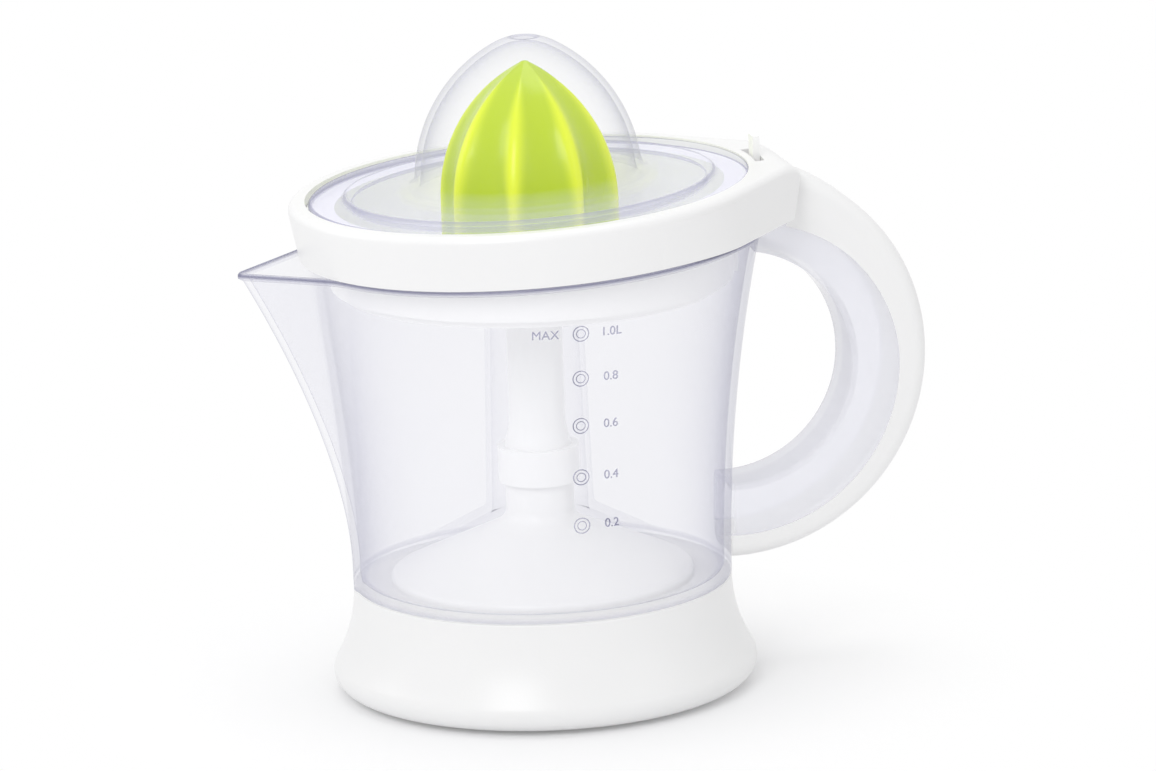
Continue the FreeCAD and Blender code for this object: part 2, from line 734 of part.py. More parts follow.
def rotor_magnet():
    body = new_body("rotor_magnet", x=rotor_x, y=rotor_y, z=d.core_z)
    revolve(body, ring_outline(d.rotor_shaft_r + d.running, d.rotor_r, ZERO, d.core_t))
    return body


def rotor_shaft():
    body = new_body("rotor_shaft", x=rotor_x, y=rotor_y, z=plate_top_z)
    top = d.idler_wheel_z + d.idler_wheel_t + d.rotor_shaft_r - plate_top_z
    revolve(body, ring_outline(ZERO, d.rotor_shaft_r, d.fit * 3, top))
    return body


def rotor_bush(name, z):
    body = new_body(name, x=rotor_x, y=rotor_y, z=z)
    revolve(body, ring_outline(d.rotor_shaft_r + d.running, d.rotor_bush_r, ZERO, d.rotor_bush_r - d.fit))
    return body


# Gears

TOOTH_ROOT = 0.60
TOOTH_TIP = 0.17
ADDENDUM = 0.85
DEDENDUM = 1.15


def gear_blank(module, teeth, thickness):
    """A spur gear with straight-sided teeth; the first tooth points along X."""
    pitch_r = module * teeth / 2
    half_pitch = math.pi / teeth
    points = []
    for tooth in range(int(round(teeth))):
        middle = 2 * half_pitch * tooth
        for radius, angle in (
            (pitch_r - DEDENDUM * module, -TOOTH_ROOT * half_pitch),
            (pitch_r + ADDENDUM * module, -TOOTH_TIP * half_pitch),
            (pitch_r + ADDENDUM * module, TOOTH_TIP * half_pitch),
            (pitch_r - DEDENDUM * module, TOOTH_ROOT * half_pitch),
        ):
            points.append(V(radius * math.cos(middle + angle), radius * math.sin(middle + angle), 0))
    face = Part.Face(Part.makePolygon(points + points[:1]))
    return face.extrude(V(0, 0, thickness))


def mesh_turn(direction, teeth):
    """The turn that puts a tooth space of a gear on the line in the given direction."""
    return direction + Size.of(180) / teeth


def rotor_pinion():
    blank = gear_blank(float(d.first_module), float(d.rotor_teeth), float(d.idler_wheel_t + d.fit * 10))
    bore = Part.makeCylinder(float(d.rotor_shaft_r + d.running), float(d.idler_wheel_t * 2))
    return shaped("rotor_pinion", blank.cut(bore), x=rotor_x, y=rotor_y, z=d.idler_wheel_z - d.fit * 5,
                  turn=d.rotor_angle)


def idler_gear():
    """Moulded wheel and pinion in one piece, on a hub that rests on the gear plate."""
    hub_z = float(gear_plate_top_z + d.fit * 3 - d.idler_wheel_z)
    wheel_t = float(d.idler_wheel_t)
    top = float(d.output_gear_z + d.output_gear_t + d.fit * 10 - d.idler_wheel_z)
    wheel = gear_blank(float(d.first_module), float(d.idler_teeth), wheel_t)
    wheel_turn = float(mesh_turn(d.rotor_angle, d.idler_teeth)) - float(d.idler_angle)
    wheel.rotate(V(), V(0, 0, 1), wheel_turn)
    pinion = gear_blank(float(d.second_module), float(d.idler_pinion_teeth), top - wheel_t)
    pinion.rotate(V(), V(0, 0, 1), 180.0)
    pinion.translate(V(0, 0, wheel_t))
    hub = Part.makeCylinder(float(d.idler_hub_r), -hub_z, V(0, 0, hub_z))
    bore = Part.makeCylinder(float(d.idler_pin_r + d.running), top - hub_z, V(0, 0, hub_z))
    shape = wheel.fuse([pinion, hub]).cut(bore).removeSplitter()
    return shaped("idler_gear", shape, x=idler_x, y=idler_y, z=d.idler_wheel_z, turn=d.idler_angle)


def idler_pin():
    top = d.output_gear_z + d.output_gear_t + d.fit * 15
    height = top - d.gear_plate_z
    return solid_cylinder("idler_pin", d.idler_pin_r, height, x=idler_x, y=idler_y, z=d.gear_plate_z)


def output_gear():
    """Moulded gear on the spindle, its hub resting on the spindle's lower bush."""
    hub_z = d.gear_plate_z + d.bush_length + d.fit * 3
    hub_t = float(d.output_gear_z + d.output_gear_t + d.fit * 10 - hub_z)
    blank = gear_blank(float(d.second_module), float(d.output_teeth), float(d.output_gear_t))
    blank.translate(V(0, 0, float(d.output_gear_z - hub_z)))
    hub = Part.makeCylinder(float(d.output_hub_r), hub_t)
    bore = Part.makeCylinder(float(d.spindle_r + d.running), hub_t)
    return shaped("output_gear", blank.fuse(hub).cut(bore).removeSplitter(),
                  z=hub_z, turn=mesh_turn(d.idler_angle, d.output_teeth))


def strap(body, a, b, radius):
    """A flat arm with round ends from a to b, as a loop for the gear plate."""
    length = root((b[0] - a[0]) ** 2 + (b[1] - a[1]) ** 2)
    side_x = (b[1] - a[1]) * radius / length
    side_y = (b[0] - a[0]) * radius / length
    outline = [
        (a[0] + side_x, a[1] - side_y),
        (b[0] + side_x, b[1] - side_y),
        (b[0] - side_x, b[1] + side_y),
        (a[0] - side_x, a[1] + side_y),
    ]
    extrude(body, [outline], d.gear_plate_t, lift=d.gear_plate_z)
    extrude(body, [(b[0], b[1], radius)], d.gear_plate_t, lift=d.gear_plate_z)


def gear_plate():
    """Spider that holds the spindle's lower bush, the idler pin and the rotor's upper bush."""
    body = new_body("gear_plate")
    middle = (ZERO, ZERO)
    idler = (idler_x, idler_y)
    rotor = (rotor_x, rotor_y)
    first, second, third = post_places()
    extrude(body, [(ZERO, ZERO, bush_r + d.base_wall)], d.gear_plate_t, lift=d.gear_plate_z)
    for a, b in ((middle, idler), (idler, rotor), (middle, first), (middle, second), (idler, third)):
        strap(body, a, b, d.arm_r)
    through = d.gear_plate_t * 3
    for x, y, radius in (
        (ZERO, ZERO, bush_r + d.fit),
        (idler_x, idler_y, d.idler_pin_r + d.running),
        (rotor_x, rotor_y, d.rotor_bush_r + d.fit),
        (*first, d.screw_r + d.fit),
        (*second, d.screw_r + d.fit),
        (*third, d.screw_r + d.fit),
    ):
        pocket(body, [(x, y, radius)], through, lift=gear_plate_top_z + d.gear_plate_t)
    return body


def plate_screws():
    """Short screws from the gear plate into the tops of its posts."""
    screws = []
    for x, y in post_places():
        screws.append(screw(x, y, gear_plate_top_z, d.gear_plate_t - d.fit, True))
    return group("plate_screws", *screws)


# Spindle, rod and switch

def spindle_bush(name, z, outer):
    body = new_body(name, z=z)
    revolve(body, ring_outline(d.spindle_r + d.running, outer, ZERO, d.bush_length))
    return body


def drive_spindle():
    """Hollow shaft with a thrust flange over the gear and a hexagonal dog on top."""
    body = new_body("drive_spindle")
    flange_z = d.output_gear_z + d.output_gear_t + d.fit * 12
    revolve(body, [
        (d.spindle_bore_r, d.gear_plate_z + d.fit * 3),
        (d.spindle_r, d.gear_plate_z + d.fit * 3),
        (d.spindle_r, flange_z),
        (d.spindle_flange_r, flange_z),
        (d.spindle_flange_r, flange_z + d.tower_wall),
        (d.spindle_r, flange_z + d.tower_wall),
        (d.spindle_r, d.tower_top_z),
        (d.spindle_bore_r, d.tower_top_z),
    ])
    extrude(body, [hexagon(d.spindle_hex), (ZERO, ZERO, d.spindle_bore_r)], d.spindle_dog, lift=d.tower_top_z)
    return body


socket_roof_z = d.sleeve_top_z + d.press_travel + d.slack


def push_rod():
    """Rod from the cone's socket down to the foot that works the switch."""
    body = new_body("push_rod")
    foot_top = d.rod_foot_z + d.rod_foot_t
    revolve(body, [
        (ZERO, d.rod_foot_z),
        (d.rod_foot_r, d.rod_foot_z),
        (d.rod_foot_r, foot_top),
        (d.rod_r, foot_top),
        (d.rod_r, socket_roof_z - d.fit * 2),
        (ZERO, socket_roof_z - d.fit * 2),
    ])
    return body


def biarc(start, start_way, end, end_way):
    """Two tangent arcs from start to end along the given directions."""
    span = end - start
    both = start_way + end_way
    a = both.dot(both) - 4
    b = -2 * span.dot(both)
    c = span.dot(span)
    reach = (-b - math.sqrt(b * b - 4 * a * c)) / (2 * a)
    knot = (start + start_way * reach + end - end_way * reach) * 0.5
    arcs = []
    halves = ((start, start + start_way * reach, knot), (knot, end - end_way * reach, end))
    for a_point, corner, b_point in halves:
        base = (a_point + b_point) * 0.5
        half = (b_point - a_point).Length / 2
        turn = 2 * math.atan2((corner - base).Length, half)
        middle = base + (corner - base).normalize() * (half * math.tan(turn / 4))
        arcs.append(Part.Arc(a_point, middle, b_point).toShape())
    return arcs


def return_spring():
    """Helical spring between the boss and the rod's foot, wound quarter by quarter."""
    radius = float(d.spring_r)
    wire_r = float(d.spring_wire) / 2
    low = float(d.spring_seat_z + d.fit) + wire_r
    high = float(d.rod_foot_z - d.fit) - wire_r
    quarters = int(round(float(d.spring_turns) * 4))
    pitch = (high - low) / quarters

    def point(index):
        angle = index * math.pi / 2
        return V(radius * math.cos(angle), radius * math.sin(angle), low + pitch * index)

    def way(index):
        angle = index * math.pi / 2
        return V(-radius * math.sin(angle), radius * math.cos(angle), pitch * 2 / math.pi).normalize()

    edges = []
    for index in range(quarters):
        edges += biarc(point(index), way(index), point(index + 1), way(index + 1))
    section = Part.Wire(Part.Circle(point(0), way(0), wire_r).toShape())
    coil = Part.Wire(edges).makePipeShell([section], True, False)
    print(f"return_spring least gap between turns {pitch * 4 - 2 * wire_r:.2f} mm")
    return shaped("return_spring", coil)


def switch_body():
    """Small snap switch on the base plate, with the bore of its plunger."""
    body = new_body("switch_body", x=d.switch_x, z=plate_top_z)
    half = d.switch_width / 2
    extrude(body, [rectangle(ZERO, d.switch_length, -half, half)], d.switch_height)
    bore = d.plunger_length + d.press_travel
    pocket(body, [(d.switch_inset, ZERO, d.plunger_r + d.running)], bore, lift=d.switch_height)
    return body


def switch_plunger():
    top = d.rod_foot_z - d.fit
    return solid_cylinder("switch_plunger", d.plunger_r, d.plunger_length,
                          x=switch_plunger_x, z=top - d.plunger_length)


# Jug

def prow_section(share, inset):
    """Outline of the prow at a share of its height, and that height."""
    start_z = d.base_ledge_z + d.spout_start
    edge_z = d.rim_z - (d.jug_foot_r + d.spout_reach) * tangent(d.rim_tilt)
    height = start_z + (edge_z - start_z) * share
    tip = d.jug_foot_r + d.spout_reach * Size.of(share) ** d.spout_power
    radius = d.spout_tip_r - inset
    centre = d.spout_tip_r - tip
    side_x = radius * sine(d.spout_half)
    side_y = radius * cosine(d.spout_half)
    depth = d.spout_depth * (0.25 + 0.75 * share)
    back_x = centre + depth - side_x
    back_y = side_y + depth * tangent(d.spout_half)
    return [
        (back_x, back_y),
        (centre - side_x, side_y, (radius, 1)),
        (centre - side_x, -side_y),
        (back_x, -back_y),
    ], height


def prow(body, kind, inset):
    """Loft the full-height prow, solid or hollow, to a little above the rim."""
    sketches = []
    for share in (0, 0.35, 0.7, 1.05):
        outline, height = prow_section(share, inset)
        sketches.append(draw(body, "XY_Plane", [outline], lift=height))
    loft = body.newObject(f"PartDesign::{kind}Loft", "Loft")
    loft.Profile = sketches[0]
    loft.Sections = sketches[1:]
    return loft


def jug():
    """Clear jug: swept wall, prow, tilted rim, conical floor and chimney in one moulding."""
    body = new_body("jug")
    floor_z = d.base_ledge_z + d.jug_floor_t
    inner_top = jug_radius(jug_top_z, d.jug_wall)
    revolve(body, [
        (ZERO, d.base_ledge_z),
        (d.jug_foot_r, d.base_ledge_z, (jug_sweep_r, -1)),
        (jug_radius(jug_top_z), jug_top_z),
        (ZERO, jug_top_z),
    ])
    prow(body, "Additive", ZERO)
    pocket(body, [(ZERO, ZERO, d.jug_rim_r * 2)], d.ring_height * 4, lift=d.rim_z, tilt=d.rim_tilt, back=True)
    lip_r = d.jug_rim_r + d.rim_lip
    rim_low = d.rim_z - d.rim_lip_t
    extrude(body, [(ZERO, ZERO, lip_r)], d.rim_lip_t - d.fit, lift=rim_low, tilt=d.rim_tilt)
    outline, height = prow_section(1, -d.rim_lip)
    extrude(body, [outline], d.rim_lip_t - d.fit * 3, lift=rim_low - d.fit * 5, tilt=d.rim_tilt)
    slope = (d.chimney_foot_z - floor_z) / (d.jug_cone_r - d.chimney_foot_r)
    groove(body, [
        (d.chimney_foot_r, d.chimney_foot_z),
        (d.jug_cone_r, floor_z),
        (jug_radius(floor_z, d.jug_wall), floor_z, (jug_sweep_r + d.jug_wall, -1)),
        (inner_top, jug_top_z),
        (ZERO, jug_top_z),
        (ZERO, d.chimney_top_z),
        (d.chimney_top_r, d.chimney_top_z),
    ])
    under_foot = d.chimney_foot_r - d.chimney_wall
    under_z = d.chimney_foot_z - d.jug_floor_t
    groove(body, [
        (ZERO, d.base_ledge_z),
        (under_foot + (under_z - d.base_ledge_z) / slope, d.base_ledge_z),
        (under_foot, under_z),
        (d.chimney_top_r - d.chimney_wall, d.chimney_top_z),
        (ZERO, d.chimney_top_z),
    ])
    prow(body, "Subtractive", d.jug_wall)
    return body


def jug_outside(name, grow):
    """The jug's round outside as a plain solid, grown by a gap, to trim the handle."""
    body = new_body(name)
    low = d.base_ledge_z - d.jug_floor_t
    revolve(body, [
        (ZERO, low),
        (jug_radius(low) + grow, low, (jug_sweep_r - grow, -1)),
        (jug_radius(jug_top_z) + grow, jug_top_z),
        (ZERO, jug_top_z),
    ])
    return body


def jug_handle():
    """Clear channel of the handle, open towards its back."""
    body = new_body("handle_channel")
    seam = (d.seam_x, d.seam_z, d.seam_r)
    extrude(body, [seam, (d.grip_x, d.grip_z, d.grip_r)], d.handle_width, role="XZ_Plane", both=True)
    round_edges(body, of_radius(d.grip_r), d.handle_round / 2)
    web = (d.grip_x, d.grip_z, d.grip_r + d.handle_wall)
    channel = d.handle_width - d.handle_wall * 2
    pocket(body, [(d.seam_x, d.seam_z, d.seam_r * 2), web], channel, role="XZ_Plane", both=True)
    pocket(body, [(ZERO, ZERO, d.seam_r * 4)], d.seam_r * 2, lift=d.rim_z - d.fit, tilt=d.rim_tilt, back=True)
    return subtract("jug_handle", body, jug_outside("handle_trim", d.running))


def seam_x_at(w, gap):
    """The slanted seam between the collar's tab and the handle cover, in the collar's frame."""
    return tab_reach + gap - (d.ring_height - w) * tangent(d.tab_lean)


def handle_cover():
    """White shell that closes the back of the handle, cut to the jug and to the collar's tab."""
    body = new_body("cover_shell")
    back = (d.back_x, d.back_z, d.back_r)
    seam = (d.seam_x, d.seam_z, d.seam_r + d.fit)
    extrude(body, [back, seam], d.handle_width, role="XZ_Plane", both=True)
    round_edges(body, of_radius(d.back_r), d.handle_round)
    hollow = (d.back_x, d.back_z, d.back_r - d.handle_wall)
    pocket(body, [hollow], d.handle_width - d.handle_wall * 2, role="XZ_Plane", both=True)
    ahead = new_body("seam_side", z=d.rim_z, tilt=d.rim_tilt)
    low = -d.rim_z / 2
    high = d.ring_height * 2
    extrude(ahead, [[
        (ZERO, low), (seam_x_at(low, d.slack), low), (seam_x_at(high, d.slack), high), (ZERO, high),
    ]], d.handle_width * 2, role="XZ_Plane", both=True)
    trimmed = subtract("cover_beside_jug", body, jug_outside("cover_trim", d.slack))
    return subtract("handle_cover", trimmed, ahead)


# Strainer

ledge_top_w = d.ledge_w + d.ledge_t
ledge_in_r = basket_r + d.slack + flange_top_w * tangent(d.rim_tilt)
gate_top_z = d.basket_z - d.slack
gate_z = gate_top_z - d.gate_t
post_in_r = basket_r + d.slack * 1.5
link_z = d.rim_z + nub_r * tangent(d.rim_tilt) + d.slack * 4


def tab_side(radius, end_x, end_y):
    """Where a line from the tab's corner touches the collar's circle."""
    far = end_x**2 + end_y**2
    reach = root(far - radius**2)
    touch_x = (radius**2 * end_x - radius * reach * end_y) / far
    touch_y = (radius**2 * end_y + radius * reach * end_x) / far
    return touch_x, touch_y


def strainer_ring():
    """White collar on the jug's rim, with its tab, ledge, lid seat and lever slot."""
    body = new_body("strainer_ring", z=d.rim_z, tilt=d.rim_tilt)
    low = d.fit
    top = d.ring_height
    revolve(body, [
        (ledge_in_r, low),
        (ring_foot_r, low),
        (d.ring_r, top - d.ring_round * 1.4),
        (d.ring_r, top),
        (ledge_in_r, top),
    ])
    end_x = tab_reach + d.ring_round
    half = d.handle_width / 2
    touch_x, touch_y = tab_side(d.ring_r, end_x, half)
    tab = [(touch_x, -touch_y), (end_x, -half), (end_x, half), (touch_x, touch_y)]
    extrude(body, [tab], top - low, lift=low)
    beyond = tab_reach * 2
    pocket(body, [[
        (seam_x_at(-top, ZERO), -top), (beyond, -top), (beyond, top * 2), (seam_x_at(top * 2, ZERO), top * 2),
    ]], d.handle_width * 4, role="XZ_Plane", both=True)

    def outer_top(edge):
        box = edge.BoundBox
        middle = edge.valueAt((edge.FirstParameter + edge.LastParameter) / 2)
        flat = abs(box.ZMin - float(top)) < 1e-3 and abs(box.ZMax - float(top)) < 1e-3
        across = box.XLength < 1e-3
        return flat and not across and math.hypot(middle.x, middle.y) > float(d.ring_r) - 0.5

    round_edges(body, outer_top, d.ring_round)
    inside = touch_x - d.ring_wall
    groove(body, ring_outline(inside, ledge_in_r, -low, top * 2))
    groove(body, [
        (inside, -low),
        (ring_foot_r - d.ring_wall, -low),
        (d.ring_r - d.ring_wall, d.ledge_w),
        (inside, d.ledge_w),
    ])
    groove(body, ring_outline(inside, lid_seat_r, ledge_top_w, top * 2))
    hollow_x = lid_seat_r + d.ring_wall
    in_x = seam_x_at(low, ZERO) - d.ring_wall
    in_y = half - d.ring_wall
    pocket(body, [rectangle(hollow_x, in_x, -in_y, in_y)], top - low - d.ring_wall, lift=low, back=True)
    swing_y = nub_r * sine(d.gate_swing) + d.arm_width / 2 + d.slack * 2
    window = rectangle(ledge_in_r - d.ring_wall, in_x, -swing_y, swing_y)
    pocket(body, [window], d.ledge_w - low, lift=low, back=True)
    slot_r = nub_r + (d.ring_height - d.ring_wall / 2) * tangent(d.rim_tilt)
    slot_half = d.arm_t / 2 + d.slack
    slot_in = slot_r - slot_half
    slot_out = slot_r + slot_half
    reach_in = root(slot_in**2 - swing_y**2)
    reach_out = root(slot_out**2 - swing_y**2)
    pocket(body, [[
        (reach_in, -swing_y),
        (reach_out, -swing_y, (slot_out, 1)),
        (reach_out, swing_y),
        (reach_in, swing_y, (slot_in, -1)),
    ]], d.ring_height - d.ledge_w, lift=top)
    return body


def slots(body, top, depth):
    """Radial slots in a disc of the strainer, cut down from a height."""
    half = d.slot_width / 2
    slot = pocket(body, [rectangle(d.slot_in_r, slot_out_r, -half, half)], depth, lift=top)
    repeat_round(body, d.slot_count, slot)


def strainer_basket():
    """Slotted basket with a hub over the chimney and a flange that follows the tilted rim."""
    cup = new_body("basket_cup")
    floor_top = d.basket_z + d.basket_floor_t
    wall_in = basket_r - d.basket_wall
    hub_in = d.hub_r - d.hub_wall
    bearing_r = d.sleeve_r + d.slack
    lip_top = gate_z - d.slack
    lip_low = lip_top - d.gate_lip
    revolve(cup, [
        (hub_in, lip_low),
        (d.hub_r + d.gate_lip, lip_low),
        (d.hub_r + d.gate_lip, lip_top),
        (d.hub_r, lip_top),
        (d.hub_r, d.basket_z),
        (basket_r, d.basket_z),
        (basket_r, jug_top_z),
        (wall_in, jug_top_z),
        (wall_in, floor_top),
        (d.hub_r, floor_top),
        (d.hub_r, d.hub_top_z),
        (bearing_r, d.hub_top_z),
        (bearing_r, d.hub_top_z - d.hub_wall),
        (hub_in, d.hub_top_z - d.hub_wall),
    ])
    slots(cup, floor_top + d.fit, d.basket_floor_t + d.fit * 2)
    above = new_body("basket_trim", z=d.rim_z, tilt=d.rim_tilt)
    extrude(above, [(ZERO, ZERO, d.ring_r * 2)], d.ring_height * 4, lift=flange_top_w)
    flange = new_body("basket_flange", z=d.rim_z, tilt=d.rim_tilt)
    revolve(flange, ring_outline(
        wall_in + d.basket_wall / 2, lid_seat_r - d.slack, ledge_top_w + d.fit, flange_top_w
    ))
    return join("strainer_basket", subtract("basket_cut", cup, above), flange)


def pulp_gate():
    """Slotted disc under the basket; its arm goes round the basket and up through the collar."""
    body = new_body("pulp_gate")
    revolve(body, ring_outline(d.hub_r + d.slack, gate_r, gate_z, gate_top_z))
    slots(body, gate_top_z + d.fit, d.gate_t + d.fit * 2)
    root_r = slot_out_r + d.arm_t / 2
    post_out_r = post_in_r + d.arm_t
    link_top = link_z + d.arm_t
    nub_in = nub_r - d.arm_t / 2
    nub_out = nub_r + d.arm_t / 2
    nub_top = d.rim_z + d.ring_height + nub_r * tangent(d.rim_tilt) + d.nub_rise
    extrude(body, [[
        (root_r, gate_z), (post_out_r, gate_z), (post_out_r, link_z), (nub_out, link_z), (nub_out, nub_top),
        (nub_in, nub_top), (nub_in, link_top), (post_in_r, link_top), (post_in_r, gate_top_z),
        (root_r, gate_top_z),
    ]], d.arm_width, role="XZ_Plane", both=True)
    return body


# Sleeve and cone

def drive_sleeve():
    """Tube that carries the turn from the spindle up to the cone, with a skirt over the tower."""
    body = new_body("drive_sleeve")
    skirt_top = d.sleeve_foot_z + d.skirt_height
    skirt_roof = skirt_top - d.skirt_wall
    revolve(body, [
        (d.sleeve_bore_r, skirt_roof),
        (d.skirt_r - d.skirt_wall, skirt_roof),
        (d.skirt_r - d.skirt_wall, d.sleeve_foot_z),
        (d.skirt_r, d.sleeve_foot_z),
        (d.skirt_r, skirt_top),
        (d.flare_r, skirt_top),
        (d.sleeve_r, skirt_top + d.flare_height),
        (d.sleeve_r, d.sleeve_shoulder_z),
        (d.sleeve_bore_r, d.sleeve_shoulder_z),
    ])
    extrude(body, [hexagon(d.sleeve_hex), (ZERO, ZERO, d.sleeve_bore_r)], d.sleeve_top_z - d.sleeve_shoulder_z,
            lift=d.sleeve_shoulder_z)
    dog_top = d.tower_top_z + d.spindle_dog + d.slack
    pocket(body, [hexagon(d.spindle_hex + d.slack * 2)], dog_top - d.sleeve_foot_z, lift=dog_top)
    return body


def reamer_cone():
    """Ribbed cone: a pointed arch turned round, then eight flutes cut along an arc."""
    body = new_body("reamer_cone")
    narrowing = d.cone_r - d.cone_tip_r
    arch = (narrowing**2 + (d.cone_tip_z - d.cone_z) ** 2) / (2 * narrowing)
    revolve(body, [
        (ZERO, d.cone_skirt_z),
        (d.cone_r, d.cone_skirt_z),
        (d.cone_r, d.cone_z, (arch, 1)),
        (d.cone_tip_r, d.cone_tip_z),
        (ZERO, d.cone_tip_z + d.cone_tip_r / 4),
    ])
    flute = body.newObject("PartDesign::SubtractiveTorus", "Flute")
    flute.AttachmentSupport = [(origin_feature(body, "XZ_Plane"), "")]
    flute.MapMode = "FlatFace"
    flute_x = d.cone_r + d.flute_r - d.flute_depth
    flute_z = d.cone_z + d.flute_rise
    flute.Angle3 = 90
    flute.setExpression("Radius1", d.flute_arc_r.text)
    flute.setExpression("Radius2", d.flute_r.text)
    flute.setExpression("AttachmentOffset.Base.x", (flute_x - d.flute_arc_r).text)
    flute.setExpression("AttachmentOffset.Base.y", flute_z.text)
    run_depth = d.flute_rise + d.cone_z - d.cone_skirt_z + d.slack
    run = pocket(body, [(flute_x, ZERO, d.flute_r)], run_depth, lift=flute_z)
    repeat_round(body, d.flute_count, flute, run)
    shell_r = d.cone_r - d.flute_depth - d.cone_shell * 2
    low = d.cone_skirt_z - d.cone_shell
    groove(body, [
        (ZERO, low), (shell_r, low), (shell_r, d.cone_z), (d.cone_boss_r, d.sleeve_top_z),
        (d.cone_boss_r, d.cone_boss_z), (ZERO, d.cone_boss_z),
    ])
    collar_z = d.sleeve_shoulder_z + d.press_travel + d.slack
    pocket(body, [(ZERO, ZERO, d.sleeve_r + d.slack)], collar_z - d.cone_boss_z + d.slack, lift=collar_z)
    pocket(body, [hexagon(d.sleeve_hex + d.slack)], socket_roof_z - d.cone_boss_z, lift=socket_roof_z)
    return body


# Lid

def dome(name, inset, low):
    """Upright dome of the lid as a solid, inset for its inner side."""
    body = new_body(name)
    crown_z = d.lid_top_z - d.lid_crown_r
    rise = crown_z - d.lid_dome_z
    spare = d.lid_dome_r - d.lid_crown_r
    offset = (rise**2 - spare**2) / (2 * spare)
    span = root(offset**2 + rise**2)
    crown = d.lid_crown_r - inset
    side = d.lid_dome_r + offset - inset
    revolve(body, [
        (ZERO, low),
        (d.lid_dome_r - inset, low),
        (d.lid_dome_r - inset, d.lid_dome_z, (side, 1)),
        (crown * offset / span, crown_z + crown * rise / span, (crown, 1)),
        (ZERO, crown_z + crown),
    ])
    return body


def lid():
    """Clear cover: a flange and raised plate along the tilted rim, and an upright dome."""
    flange_top = lid_w + d.lid_flange_t
    plate_top = flange_top + d.lid_plate_rise
    outside = new_body("lid_plate", z=d.rim_z, tilt=d.rim_tilt)
    revolve(outside, [
        (ZERO, lid_w), (lid_seat_r - d.slack, lid_w), (lid_seat_r - d.slack, flange_top),
        (lid_plate_r + d.lid_plate_rise, flange_top), (lid_plate_r, plate_top), (ZERO, plate_top),
    ])
    inside = new_body("lid_under", z=d.rim_z, tilt=d.rim_tilt)
    under = lid_plate_r - d.lid_wall
    extrude(inside, [(ZERO, ZERO, under)], plate_top - d.lid_wall + d.ring_height, lift=-d.ring_height)
    plate_z = d.rim_z + lid_w
    whole = join("lid_outside", outside, dome("lid_dome", ZERO, plate_z))
    hollow = join("lid_inside", inside, dome("lid_dome_inside", d.lid_wall, plate_z - d.ring_height))
    shell = subtract("lid_shell", whole, hollow)
    dimple = solid_cylinder("dimple", d.dimple_r, d.dimple_depth * 2, z=d.lid_top_z - d.dimple_depth)
    return subtract("lid", shell, dimple)


NODES = [
    base_housing(), base_plate(), rubber_foot(), base_screws(), cord_inlet(),
    motor_core(), bobbin("bobbin_inner", 1), bobbin("bobbin_outer", -1),
    winding("winding_inner", 1), winding("winding_outer", -1),
    rotor_magnet(), rotor_shaft(), rotor_pinion(),
    rotor_bush("rotor_bush_lower", plate_top_z), rotor_bush("rotor_bush_upper", d.gear_plate_z + d.fit),
    gear_plate(), plate_screws(), idler_pin(), idler_gear(), output_gear(),
    drive_spindle(), spindle_bush("spindle_bush_lower", d.gear_plate_z, bush_r),
    spindle_bush(
        "spindle_bush_upper", d.tower_top_z - d.bush_length - d.fit * 5, d.tower_r - d.tower_wall - d.fit
    ),
    push_rod(), return_spring(), switch_body(), switch_plunger(),
    jug(), jug_handle(), handle_cover(),
    strainer_ring(), strainer_basket(), pulp_gate(), drive_sleeve(), reamer_cone(), lid(),
]


def write_nodes():
    """Check every object, then write each piece to a file of its own."""
    doc.recompute()
    failed = [obj.Label for obj in doc.Objects if {"Invalid", "Error"} & set(obj.State)]
    if failed:
        raise RuntimeError(f"failed objects: {failed}")
    for node in NODES:
        shape = node.Shape
        if shape.isNull() or not shape.isValid() or not shape.Solids:
            raise RuntimeError(f"{node.Label} has no valid solid")
    os.makedirs("parts", exist_ok=True)
    for node in NODES:
        node.Shape.exportStep(f"parts/{node.Label}.step")
        print(f"{node.Label}: {len(node.Shape.Solids)} solid(s), {node.Shape.Volume / 1000:.2f} cm3")


write_nodes()
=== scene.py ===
import json
import math

import bmesh
import bpy
import numpy as np
from bpy.props import FloatProperty, FloatVectorProperty, PointerProperty
from mathutils import Matrix, Vector


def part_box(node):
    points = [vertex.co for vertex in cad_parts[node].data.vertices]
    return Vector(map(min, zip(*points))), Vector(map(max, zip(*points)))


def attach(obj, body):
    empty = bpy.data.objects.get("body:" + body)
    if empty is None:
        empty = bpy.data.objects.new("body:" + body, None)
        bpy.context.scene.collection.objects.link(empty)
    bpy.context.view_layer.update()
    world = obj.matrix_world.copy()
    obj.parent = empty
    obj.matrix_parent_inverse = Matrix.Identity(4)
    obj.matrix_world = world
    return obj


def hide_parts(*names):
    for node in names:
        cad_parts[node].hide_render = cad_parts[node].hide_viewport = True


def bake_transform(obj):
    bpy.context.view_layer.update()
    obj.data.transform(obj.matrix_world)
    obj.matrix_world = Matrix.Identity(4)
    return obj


bl_info = {
    "name": "Citrus press",
    "version": (1, 0, 0),
    "blender": (4, 5, 0),
    "location": "View3D > Sidebar > Citrus press",
    "description": "Dresses the packed citrus press with moulded surfaces, finishes and a studio stage",
    "category": "Object",
}

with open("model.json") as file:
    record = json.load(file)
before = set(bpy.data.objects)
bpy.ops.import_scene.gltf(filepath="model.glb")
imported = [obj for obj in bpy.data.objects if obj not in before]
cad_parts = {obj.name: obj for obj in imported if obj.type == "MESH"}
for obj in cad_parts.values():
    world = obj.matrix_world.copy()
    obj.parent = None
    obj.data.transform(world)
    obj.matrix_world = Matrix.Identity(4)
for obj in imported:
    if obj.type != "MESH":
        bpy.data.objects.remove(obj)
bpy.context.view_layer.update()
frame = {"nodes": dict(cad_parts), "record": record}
MM = 0.001


# Sizes and colours that a user would change

def length(label, note, value):
    """A length that a user may set."""
    return FloatProperty(name=label, description=note, default=value, unit="LENGTH", precision=4)


